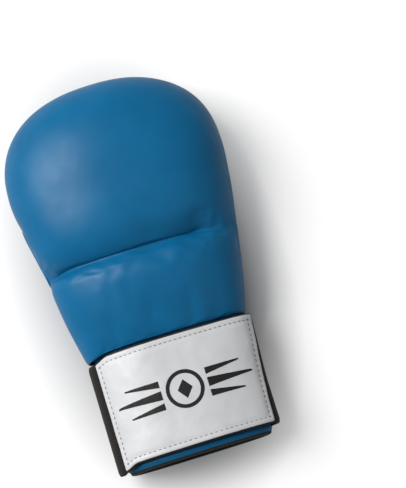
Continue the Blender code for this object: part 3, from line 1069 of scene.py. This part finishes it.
class MITT_OT_skin(MittOperator):
    """Make the vinyl skin of the hand pad and the fist pad, with the sewn fold between them"""

    bl_idname = "mitt.make_skin"
    bl_label = "Vinyl skin"

    def execute(self, context):
        points, keep = skin_grid(self.sizes)
        inner = points - grid_normals(points) * SKIN
        skin = smooth_piece(solid_between("mitt_cover", points, inner, keep))
        bend_at_fold(skin)
        dress(skin, finish_named("vinyl"),
              ("hand_cover", "fist_cover", "side_gusset_left", "side_gusset_right"))
        return {"FINISHED"}


def foam_layer(name, rows, replaced, crease_depth):
    """A foam pad between the skin and the lining."""
    outer = wrist_roll(under_skin(rows, SKIN + 2.4, margin=1.8))
    outer -= grid_normals(outer) * groove(outer, crease_depth)[..., None]
    inner = under_skin(rows, LINING + 0.5, from_cavity=True, margin=1.8)
    keep = ~window_faces(rows, PANEL_START, LIP)
    outer, keep, _ = cut_thumb(outer, keep)
    inner, _, _ = cut_thumb(inner, keep)
    pad = solid_between(name, outer, inner, keep)
    smooth_piece(pad, 0)
    bend_at_fold(pad)
    dress(pad, finish_named("foam"), replaced)
    return pad


class MITT_OT_foam(MittOperator):
    """Make the foam pads of the back of the hand and of the fist"""

    bl_idname = "mitt.make_foam"
    bl_label = "Foam pads"

    def execute(self, context):
        depth = self.sizes.crease_depth / MM
        hand = spaced((PANEL_START - 0.4, PANEL_START, 1), (PANEL_START, FOLD - 0.4, 18))
        fist = spaced((FOLD + 0.4, FRONT_START, 16), (FRONT_START, LIP, 8), (LIP, TIP - 1.0, 10))
        foam_layer("hand_pad_foam", hand, ("hand_foam",), depth)
        foam_layer("fist_pad_foam", fist, ("fist_foam",), depth)
        return {"FINISHED"}


class MITT_OT_lining(MittOperator):
    """Make the lining and the facings that close the foam at the finger and thumb openings"""

    bl_idname = "mitt.make_lining"
    bl_label = "Lining and facings"

    def execute(self, context):
        rows = spaced((CUFF_END + 0.5, FOLD, 16), (FOLD, FRONT_START, 12),
                      (FRONT_START, LIP, 12), (LIP, TIP, 9))
        outer = under_skin(rows, LINING, from_cavity=True)
        inner = under_skin(rows, 0.0, from_cavity=True)
        keep = ~window_faces(rows, FOLD, LIP)
        outer, keep, _ = cut_thumb(outer, keep)
        inner, _, _ = cut_thumb(inner, keep)
        lining = solid_between("mitt_lining", outer, inner, keep)
        smooth_piece(lining, 0)
        bend_at_fold(lining)
        dress(lining, finish_named("lining"), ("hand_lining", "fist_lining"))
        self.face_window()
        self.face_thumb()
        return {"FINISHED"}

    def face_window(self):
        """The wall of the palm window, from the skin's edge in to the lining's."""
        rows = np.linspace(PANEL_START, LIP, 44)
        skin = form(ring_angles(rows), rows[:, None], EDGE_ROLL)
        lining = under_skin(rows, 0.4, from_cavity=True)
        right, left = column_at(SIDE_COLUMNS), column_at(-SIDE_COLUMNS)
        front = list(range(right, skin.shape[1])) + list(range(0, left + 1))
        outside, inside = (
            np.concatenate([grid[:-1, right], grid[-1, front], grid[-2::-1, left]])
            for grid in (skin, lining)
        )
        share = np.linspace(0.0, 1.0, 8)[:, None, None]
        wall = outside * (1 - share) + inside * share
        into_foam = grid_normals(wall, closed=False)
        middle = np.array((0.0, 180.0, 15.0))
        away = np.sum(into_foam * (wall - middle), axis=-1, keepdims=True)
        into_foam *= np.sign(away)
        made = turn_outward(sheet_between("window_facing", wall, wall + into_foam * FACING))
        smooth_piece(made)
        bend_at_fold(made)
        dress(made, finish_named("vinyl"))

    def face_thumb(self):
        """The bound edge of the thumb opening, a rolled strip round the slot."""
        around = np.linspace(0.0, 2 * np.pi, 60, endpoint=False)
        straight = (THUMB_END - THUMB_START) / 2 - THUMB_RADIUS
        centre = (THUMB_START + THUMB_END) / 2
        depth = self.sizes.crease_depth / MM
        section = np.linspace(0.0, 2 * np.pi, 12, endpoint=False)
        rings = []
        for angle in around:
            c, s = math.cos(angle), math.sin(angle)
            y = centre + (straight if c >= 0 else -straight) + THUMB_RADIUS * c
            z = THUMB_MIDDLE + THUMB_RADIUS * s
            skin_x, wall = side_wall(y, z)
            skin_x -= float(groove(np.array((-skin_x, y, z)), depth))
            deep = wall / 2 + 0.5
            x = -(skin_x - wall / 2) + deep * np.cos(section)
            roll = 1.3 * np.sin(section)
            ring = np.stack((x, y + roll * c, z + roll * s), axis=-1)
            rings.append(ring)
        made = smooth_piece(tube_solid("thumb_binding", np.array(rings), joined=True))
        bend_at_fold(made)
        dress(made, finish_named("vinyl"))


def column_at(index):
    """The grid's column with this index from the back's middle line."""
    return index + SIDE_COLUMNS + UNDER_COLUMNS - 1


def side_wall(y, z):
    """The form's half width at a height on its side, and the wall's thickness there."""
    half, crown, widest, under, _, side, _ = (float(v) for v in stations(np.array(y)))
    if z >= widest:
        share = (z - widest) / (crown - widest)
        squareness = TOP_POWER
    else:
        share = (widest - z) / (widest - under)
        squareness = UNDER_POWER
    return half * (1 - share ** squareness) ** (1 / squareness), side


# ---------------------------------------------------------------- the palm

class MITT_OT_palm(MittOperator):
    """Make the lower palm panel, the padded palm band, and the two palm tabs with their piping"""

    bl_idname = "mitt.make_palm"
    bl_label = "Palm pads"

    def execute(self, context):
        crown = self.sizes.palm_crown / MM

        def left(y):
            return SEAM - window_half(y)

        def right(y):
            return window_half(y) - SEAM

        def rounded(u, v, *_):
            return crown * (1 - crowned(u, v))

        panel = palm_patch("lower_palm", PANEL_START, BAND_START - 0.3, left, right,
                           lambda u, v, *_: 0.6 + rounded(u, v), flat(PALM_PAD))
        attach(panel, "hand")
        dress(panel, finish_named("palm_vinyl"),
              ("lower_palm_panel", "lower_palm_foam"))

        def bulged(u, v, *_):
            return 4.2 * (1 - np.sqrt(1 - v ** 2 * 0.98) * (1 - np.abs(u) ** 8) ** 0.5)

        band = palm_patch("palm_band", BAND_START, BAND_END, left, right, bulged, flat(PALM_PAD))
        bend_at_fold(band, BAND_START, BAND_END)
        dress(band, finish_named("vinyl"), ("palm_band_cover", "palm_band_foam"))
        for name, side in SIDES:
            self.tab(name, side, rounded, left, right)
        return {"FINISHED"}

    def tab(self, name, side, rounded, left, right):
        """A padded tab beside the mesh panel, and the piping along its inner edge."""
        near = flat(side * (MESH_HALF + 3.2))
        edges = (near, right) if side > 0 else (left, near)
        tab = palm_patch(f"tab_{name}", BAND_END + 0.3, TAB_END, *edges, rounded,
                         flat(PALM_PAD - 1.0), (18, 14))
        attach(tab, "fist")
        dress(tab, finish_named("vinyl"), (f"palm_tab_{name}",))
        ys = np.linspace(BAND_END + 1.0, TAB_END, 26)
        section = np.linspace(0.0, 2 * np.pi, 10, endpoint=False)
        centre = under_point(side * (MESH_HALF + 1.5), ys, 2.6)
        rings = centre[:, None, :] + 1.4 * np.stack(
            (np.cos(section), 0 * section, 1.6 * np.sin(section)), axis=-1)[None]
        piping = smooth_piece(tube_solid(f"piping_{name}", rings, joined=False))
        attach(piping, "fist")
        dress(piping, finish_named("vinyl"), (f"tab_piping_{name}",))


class MITT_OT_fingers(MittOperator):
    """Make the mesh panel, the finger band, the corner gussets and the walls between fingers"""

    bl_idname = "mitt.make_fingers"
    bl_label = "Finger fabric"

    def execute(self, context):
        edge = MESH_HALF - 0.2
        fabric = finish_named("fabric")

        def slack(x, y):
            return 0.15 * np.sin(x / 5 + y / 7)

        for name, start, end, node in (
            ("mesh_panel", BAND_END + 0.3, MESH_END, "palm_mesh_panel"),
            ("finger_strap", MESH_END + 0.2, FINGER_BAND_END, "finger_band"),
        ):
            made = palm_patch(
                name, start, end, flat(-edge), flat(edge),
                lambda u, v, x, y: FABRIC_DEPTH + 0.5 * (1 - crowned(u, v)) + slack(x, y),
                lambda u, v, x, y: FABRIC_DEPTH + 1.8 + slack(x, y), (14, 22))
            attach(made, "fist")
            dress(made, fabric, (node,))
        for name, side in SIDES:
            low, high = sorted((side * CORNER_INNER, side * CORNER_OUTER))
            gusset = palm_patch(
                f"corner_{name}", CORNER_START, CORNER_END,
                lambda y, low=low: np.maximum(low, SEAM - window_half(y)),
                lambda y, high=high: np.minimum(high, window_half(y) - SEAM),
                lambda u, v, x, y: FABRIC_DEPTH + 0.5 * (1 - crowned(u, v)),
                flat(7.0), (10, 10))
            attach(gusset, "fist")
            dress(gusset, fabric, (f"corner_gusset_{name}",))
        for number, x in enumerate(DIVIDERS, 1):
            self.wall_between(number, x, fabric)
        return {"FINISHED"}

    def wall_between(self, number, x, fabric):
        """A folded strip of fabric between two fingers, drawn in at its middle."""
        low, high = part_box(f"finger_divider_{number}")
        start, end = DIVIDER_SPAN
        middle, half = (start + end) / 2, (end - start) / 2
        heights = np.linspace(low.z / MM, high.z / MM, 12)
        section = np.linspace(0.0, 2 * np.pi, 24, endpoint=False)
        rings = []
        for z in heights:
            rise = (z - heights[0]) / (heights[-1] - heights[0])
            waist = 1.8 * math.sin(math.pi * rise)
            across = 1.45 * power(np.cos(section), 4.0) + 0.5 * math.sin(3 * rise)
            along = (half - waist) * power(np.sin(section), 5.0)
            rings.append(np.stack((x + across, middle + along, z + 0 * section), axis=-1))
        wall = tube_solid(f"finger_wall_{number}", np.array(rings), joined=False)
        smooth_piece(wall, bevel=0.6)
        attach(wall, "fist")
        dress(wall, fabric, (f"finger_divider_{number}",))


# ---------------------------------------------------------------- cuff and strap

class MITT_OT_cuff(MittOperator):
    """Make the padded cuff: its vinyl, foam and lining, and the binding round its mouth"""

    bl_idname = "mitt.make_cuff"
    bl_label = "Cuff"

    def execute(self, context):
        rows = spaced((BINDING_END - 1.6, STRAP_START + 1.5, 8), (STRAP_START + 1.5, CUFF_END, 14),
                      (CUFF_END, CUFF_END + 0.6, 1))
        theta = ring_angles(rows)
        keep = np.ones((len(rows) - 1, theta.shape[1]), bool)
        hem = 1.1 * np.exp(-((rows - 4.2) / 1.9) ** 2)[:, None]

        def layer(depth, from_cavity=False):
            return form(theta, rows[:, None], depth, from_cavity)

        for name, outside, inside, finish, slot, node in (
            # the cuff's skin is dressed in the darker palm vinyl as painted shade, for its hem in
            # shade under the strap
            ("cuff_skin", layer(-hem), layer(SKIN - hem),
             "palm_vinyl", "blue_vinyl", "cuff_shell"),
            ("cuff_foam", layer(SKIN + 0.3), layer(LINING + 0.3, from_cavity=True),
             "foam", "foam", "cuff_padding"),
            ("cuff_cloth", layer(LINING, from_cavity=True), layer(0.0, from_cavity=True),
             "lining", "lining_cloth", "cuff_lining"),
        ):
            made = solid_between(name, outside, inside, keep)
            smooth_piece(made, 1 if name == "cuff_skin" else 0)
            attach(made, "hand")
            dress(made, finish_named(finish), (node,))
        self.bind_mouth()
        return {"FINISHED"}

    def bind_mouth(self):
        """A rolled strip round the mouth of the cuff."""
        columns = np.linspace(-np.pi, np.pi, 96, endpoint=False)
        section = np.linspace(0.0, 2 * np.pi, 14, endpoint=False)
        outside = form(columns, BINDING_END / 2, 0.0)
        inside = form(columns, BINDING_END / 2, 0.0, from_cavity=True)
        middle, half = (outside + inside) / 2, (outside - inside) / 2
        wall = middle[:, None] + half[:, None] * np.cos(section)[None, :, None] * 1.08
        wall[..., 1] = BINDING_END / 2 + 1.6 * power(np.sin(section), 2.6)[None]
        wall[..., 2] = np.maximum(wall[..., 2], 0.3)
        made = smooth_piece(tube_solid("mouth_binding", wall, joined=True))
        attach(made, "hand")
        dress(made, finish_named("fabric"), ("cuff_binding",))


FLAP_LOW, FLAP_HIGH = 19.6, 28.5      # the heights between which the flap's fold bends


class MITT_OT_strap(MittOperator):
    """Make the elastic wrist strap: the part fixed round the palm side and the flap"""

    bl_idname = "mitt.make_strap"
    bl_label = "Wrist strap"

    def execute(self, context):
        bottom_left = self.arc_at(20.0, -1)
        bottom_right = self.arc_at(29.7, 1)
        around = OVAL_ARC[-1] - OVAL_ARC[0]
        arcs = np.linspace(bottom_right, bottom_left + around, 90)
        arcs = np.where(arcs > OVAL_ARC[-1], arcs - around, arcs)
        ys = np.linspace(STRAP_START, STRAP_EDGE, 34)
        y, arc = np.meshgrid(ys, arcs, indexing="ij")
        fixed = sheet_between(
            "wrist_band", strap_point(arc, y, self.edge_roll(y), False),
            strap_point(arc, y, WRIST_BAND, False))
        smooth_piece(fixed, 0)
        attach(fixed, "hand")
        dress(fixed, finish_named("elastic"), ("wrist_elastic",))

        first, bent = self.arc_at(FLAP_LOW, -1), self.arc_at(30.0, -1)
        last = self.arc_at(30.6, 1) + 1.0
        flap_arcs = np.concatenate([
            np.linspace(first, bent, 14),
            np.linspace(bent, last, 70)[1:],
        ])

        def under_label(arc):
            return fade(LABEL_LEFT - 3.0, LABEL_LEFT + 2.0, arc)

        flap = strap_sheet("strap_flap_elastic", flap_arcs, ys,
                           lambda arc, y: 0.15 + 1.15 * under_label(arc) + self.edge_roll(y),
                           lambda arc, y: 2.2 + 0.7 * under_label(arc))
        smooth_piece(flap, 0)
        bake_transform(flap)
        dress(flap, finish_named("elastic"), ("strap_elastic",))
        return {"FINISHED"}

    @staticmethod
    def arc_at(height, side):
        return strap_arc(height, side, by_height=True)

    @staticmethod
    def edge_roll(y):
        near = np.minimum(y - STRAP_START, STRAP_EDGE - y)
        return 0.7 * np.exp(-((near / 0.9) ** 2))


LABEL_LEFT = strap_arc(52.0, -1)
LABEL_RIGHT = strap_arc(33.0, 1, by_height=True)
LABEL_LENGTH = LABEL_RIGHT - LABEL_LEFT
LABEL_WIDTH = LABEL_END - LABEL_START


def label_point(u, v, depth):
    """Points of the label: u from 0 to 1 between its ends, v in millimetres from its wrist edge.
    Its right end slants."""
    slant = 5.2 * v / LABEL_WIDTH - 2.8
    arc = LABEL_LEFT + LABEL_LENGTH * u + np.asarray(u) ** 6 * slant
    return strap_point(arc, LABEL_START + v + 0 * arc, depth)


NOMINAL_LENGTH = 110.0     # the label's length, rounded, for distances from its ends
STITCH_INSET = 3.5

# The emblem: the ring's two radii, the diamond's half width and height, where the bars start from
# its middle and their spacing, the reach and half thickness of each bar in a fan, and its shift to
# the right as a share of the label's length.
EMBLEM_RING = (10.4, 13.0)
EMBLEM_DIAMOND = (5.2, 6.6)
EMBLEM_GAP = 16.0
EMBLEM_BAR_PITCH = 7.6
EMBLEM_BARS = ((40.0, 2.3), (47.5, 3.1), (40.0, 2.3))
EMBLEM_SHIFT = 0.015


def label_waves(u, v):
    """Small waves of the label's face, in millimetres of depth."""
    return 0.3 * field(label_point(u, v, 0.0), 11.0, 1.7)


class MITT_OT_label(MittOperator):
    """Make the white label on the strap, its printed emblem and its stitches"""

    bl_idname = "mitt.make_label"
    bl_label = "Label"

    def execute(self, context):
        v, u = np.meshgrid(
            np.linspace(0.0, LABEL_WIDTH, 40), np.linspace(0.0, 1.0, 72), indexing="ij")
        near = np.minimum.reduce(
            [v, LABEL_WIDTH - v, u * NOMINAL_LENGTH, (1 - u) * NOMINAL_LENGTH])
        seam = 0.55 * np.exp(-(((near - STITCH_INSET) / 1.1) ** 2))
        dip = seam + 0.25 * np.exp(-((near / 0.8) ** 2))
        rough = label_waves(u, v)
        label = sheet_between("label", label_point(u, v, dip + rough), label_point(u, v, LABEL))
        smooth_piece(label)
        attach(label, "strap")
        dress(label, finish_named("label"), ("strap_label",))
        self.stitches()
        self.emblem()
        return {"FINISHED"}

    def stitches(self):
        """Four lines of stitches, one inside each edge of the label."""
        sizes = self.sizes
        share = STITCH_INSET / NOMINAL_LENGTH
        far = LABEL_WIDTH - STITCH_INSET
        us, vs = np.linspace(share, 1 - share, 60), np.linspace(STITCH_INSET, far, 40)
        lines = [label_point(us, v + 0 * us, 0.3) for v in (STITCH_INSET, far)]
        lines += [label_point(u + 0 * vs, vs, 0.3) for u in (share, 1 - share)]
        made = stitch_line("label_stitches", lines, sizes.stitch_pitch / MM,
                           sizes.stitch_length / MM, sizes.thread_radius / MM,
                           finish_named("thread"))
        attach(made, "strap")

    def emblem(self):
        """A ring round a diamond between two fans of tapered bars, printed on the label."""
        centre = EMBLEM_SHIFT - LABEL_LEFT / LABEL_LENGTH
        scale = self.sizes.emblem_width / MM / (2 * EMBLEM_BARS[1][0])
        shapes = []

        def ribbon(first, second):
            shapes.append(np.stack((first, (first + second) / 2, second), axis=0) * scale)

        turn = np.linspace(0.0, 2 * np.pi, 61)
        circle = np.stack((np.cos(turn), np.sin(turn)), axis=-1)
        ribbon(circle * EMBLEM_RING[0], circle * EMBLEM_RING[1])
        t = np.linspace(-1.0, 1.0, 15)
        half_width, half_height = EMBLEM_DIAMOND
        upper = np.stack((half_width * t, half_height * (1 - np.abs(t))), axis=-1)
        ribbon(upper, upper * np.array((1.0, -1.0)))
        run = np.linspace(0.0, 1.0, 18)
        for _, side in SIDES:
            for row, (reach, thick) in zip((-1, 0, 1), EMBLEM_BARS):
                x = side * (EMBLEM_GAP + (reach - EMBLEM_GAP) * run)
                lean = row * EMBLEM_BAR_PITCH * (1 + 0.25 * run)
                half = thick * (1 - 0.78 * run)
                ribbon(np.stack((x, lean - half), axis=-1), np.stack((x, lean + half), axis=-1))
        pieces = []
        for number, shape in enumerate(shapes):
            u = centre + shape[..., 0] / LABEL_LENGTH
            v = LABEL_WIDTH / 2 + shape[..., 1]
            rough = label_waves(u, v)
            part = sheet_between(f"print_{number}", label_point(u, v, rough - 0.1),
                                 label_point(u, v, rough + 0.15))
            pieces.append(turn_outward(part))
        made = join_pieces("label_emblem", pieces)
        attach(made, "strap")
        dress(made, finish_named("emblem"))


def join_pieces(name, pieces):
    mesh = bmesh.new()
    for part in pieces:
        mesh.from_mesh(part.data)
        bpy.data.objects.remove(part)
    data = bpy.data.meshes.new(name)
    mesh.to_mesh(data)
    mesh.free()
    made = bpy.data.objects.new(name, data)
    bpy.context.scene.collection.objects.link(made)
    made.data.shade_smooth()
    made.data.set_sharp_from_angle(angle=math.radians(35))
    return made


class MITT_OT_tapes(MittOperator):
    """Make the hook tape under the flap and the loop tape on the cuff"""

    bl_idname = "mitt.make_tapes"
    bl_label = "Hook and loop tapes"

    def execute(self, context):
        for name, node, body, lifted, depth in (
            ("hook_tape", "hook_patch", "strap", True, 3.0),
            ("loop_tape", "loop_patch", "hand", False, 4.5),
        ):
            low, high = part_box(node)
            first = self.arc_of(low.x / MM)
            last = self.arc_of(high.x / MM)
            start, end = from_wrist(low.y), from_wrist(high.y)
            arcs, ys = np.linspace(first, last, 40), np.linspace(start, end, 36)
            tape = strap_sheet(name, arcs, ys, flat(depth), flat(depth + 0.9), lifted)
            smooth_piece(tape, 0)
            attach(tape, body)
            dress(tape, finish_named("tape"), (node,))
        return {"FINISHED"}

    @staticmethod
    def arc_of(x):
        return strap_arc(x, 1 if x >= 0 else -1)


class MITT_OT_seams(MittOperator):
    """Sew the stitches of the palm tabs, beside the mesh panel"""

    bl_idname = "mitt.sew_seams"
    bl_label = "Seams"

    def execute(self, context):
        sizes = self.sizes
        ys = np.linspace(BAND_END + 4.0, TAB_END - 3.0, 30)
        lines = [under_point(side * (MESH_HALF + 6.2), ys, 0.35) for _, side in SIDES]
        tabs = stitch_line("tab_stitches", lines, sizes.stitch_pitch / MM * TAB_STITCH,
                           sizes.stitch_length / MM * TAB_STITCH, sizes.thread_radius / MM,
                           finish_named("blue_thread"))
        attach(tabs, "fist")
        return {"FINISHED"}


# ---------------------------------------------------------------- the stage

# The lights' places and sizes in metres, and the fill's share of the key's power.
KEY_PLACE, KEY_SIZE = (-1.7, 0.95, 2.3), 1.8
FILL_PLACE, FILL_SIZE = (1.6, -1.2, 2.8), 2.4
FILL_SHARE = 0.05

# How strongly the surround lights the mitt and how it shows; the floor's colour, and how much it
# glows to the camera beside the mitt and far from it. The glow is painted light, seen only by the
# camera, that lightens the mitt's cast shadow on the floor.
SKY_LIGHT, SKY_SEEN = 0.22, 1.0
FLOOR = (0.62, 0.62, 0.62)
PAINTED_GLOW_NEAR, PAINTED_GLOW_FAR = 0.42, 0.6


class MITT_OT_stage(MittOperator):
    """Set the pale floor, the soft light and the camera"""

    bl_idname = "mitt.set_stage"
    bl_label = "Stage"

    def execute(self, context):
        stage = context.scene.mitt_stage
        self.floor()
        self.camera(stage)
        self.lights(stage)
        context.scene.view_settings.view_transform = "Standard"
        return {"FINISHED"}

    def floor(self):
        """White paper with a painted glow, seen only by the camera and not under the mitt, that
        lightens the mitt's cast shadow beside it.
        """
        bpy.ops.mesh.primitive_plane_add(size=8.0, location=(0, 0, -1.2 * MM))
        floor = bpy.context.object
        floor.name = "floor"
        paper = Finish("mitt_floor", FLOOR, 0.9)
        paper.set(Emission_Color=(1.0, 1.0, 1.0, 1.0), Specular_IOR_Level=0.1)
        away = paper.maths("LENGTH", paper.stretched((1 / CAD_HIGH.x, 1 / CAD_HIGH.y, 0.0)))
        near = paper.ranged(away, 0.0, PAINTED_GLOW_NEAR, 0.85, 1.35)
        far = paper.ranged(away, 0.0, PAINTED_GLOW_FAR, 3.0, 15.0)
        # painted light: the floor glows to camera rays only, none under the mitt, to lift its cast
        # shadow around it
        seen = paper.nodes.new("ShaderNodeLightPath").outputs["Is Camera Ray"]
        glow = paper.maths("MULTIPLY", paper.maths("ADD", near, far), seen)
        paper.links.new(glow, paper.shader.inputs["Emission Strength"])
        floor.data.materials.append(paper.material)

    def camera(self, stage):
        """A camera above the mitt, which it shows leaning to the left."""
        lean, tilt = stage.lean, stage.tilt
        up = Vector((math.sin(lean), math.cos(lean), 0.0))
        right = Vector((math.cos(lean), -math.sin(lean), 0.0))
        back = Vector((0, 0, 1)) * math.cos(tilt) - up * math.sin(tilt)
        top = back.cross(right)
        aim = (CAD_LOW + CAD_HIGH) / 2 + right * stage.aim_right + top * stage.aim_up
        data = bpy.data.cameras.new("camera")
        data.lens = stage.lens
        data.sensor_width = 36.0
        data.sensor_fit = "AUTO"
        camera = bpy.data.objects.new("camera", data)
        bpy.context.scene.collection.objects.link(camera)
        camera.rotation_mode = "QUATERNION"
        place = aim + back * stage.distance
        columns = (right, top, back)
        turn = [[columns[c][r] for c in range(3)] for r in range(3)]
        camera.matrix_world = Matrix.Translation(place) @ Matrix(turn).to_4x4()
        bpy.context.scene.camera = camera

    def sky(self):
        """A white surround that lights the mitt less than it shows."""
        world = bpy.data.worlds.new("studio")
        world.use_nodes = True
        nodes, links = world.node_tree.nodes, world.node_tree.links
        seen = nodes["Background"]
        seen.inputs["Color"].default_value = (1, 1, 1, 1)
        strength = nodes.new("ShaderNodeMapRange")
        strength.inputs["To Min"].default_value = SKY_LIGHT
        strength.inputs["To Max"].default_value = SKY_SEEN
        rays = nodes.new("ShaderNodeLightPath")
        links.new(rays.outputs["Is Camera Ray"], strength.inputs["Value"])
        links.new(strength.outputs["Result"], seen.inputs["Strength"])
        bpy.context.scene.world = world

    def lights(self, stage):
        """A large soft light up on the thumb side, and a weak one across from it."""
        self.sky()
        for name, place, size, power_w in (
            ("key", KEY_PLACE, KEY_SIZE, stage.key_light),
            ("fill", FILL_PLACE, FILL_SIZE, stage.key_light * FILL_SHARE),
        ):
            data = bpy.data.lights.new(name, "AREA")
            data.energy = power_w
            data.size = size
            light = bpy.data.objects.new(name, data)
            bpy.context.scene.collection.objects.link(light)
            light.location = place
            light.rotation_euler = (-Vector(place)).to_track_quat("-Z", "Y").to_euler()


MAKING = (
    MITT_OT_skin, MITT_OT_foam, MITT_OT_lining, MITT_OT_palm, MITT_OT_fingers, MITT_OT_cuff,
    MITT_OT_strap, MITT_OT_label, MITT_OT_tapes, MITT_OT_seams, MITT_OT_stage,
)


class MITT_PT_panel(bpy.types.Panel):
    """The mitt's sizes, colours and making steps"""

    bl_idname = "MITT_PT_panel"
    bl_label = "Martial Arts Mitt"
    bl_space_type = "VIEW_3D"
    bl_region_type = "UI"
    bl_category = "Mitt"

    def draw(self, context):
        layout = self.layout
        for name in ("mitt_sizes", "mitt_colours", "mitt_stage"):
            group = getattr(context.scene, name)
            box = layout.box()
            for prop in group.bl_rna.properties:
                if prop.identifier not in ("rna_type", "name"):
                    box.prop(group, prop.identifier)
        for step in MAKING:
            layout.operator(step.bl_idname)


GROUPS = {"mitt_sizes": MittSizes, "mitt_colours": MittColours, "mitt_stage": MittStage}


def register():
    for group in GROUPS.values():
        bpy.utils.register_class(group)
    for name, group in GROUPS.items():
        setattr(bpy.types.Scene, name, PointerProperty(type=group))
    for step in MAKING:
        bpy.utils.register_class(step)
    bpy.utils.register_class(MITT_PT_panel)


def unregister():
    bpy.utils.unregister_class(MITT_PT_panel)
    for step in reversed(MAKING):
        bpy.utils.unregister_class(step)
    for name, group in reversed(GROUPS.items()):
        delattr(bpy.types.Scene, name)
        bpy.utils.unregister_class(group)


def main():
    register()
    for step in MAKING:
        kind, name = step.bl_idname.split(".")
        getattr(getattr(bpy.ops, kind), name)()


if __name__ == "__main__":
    main()
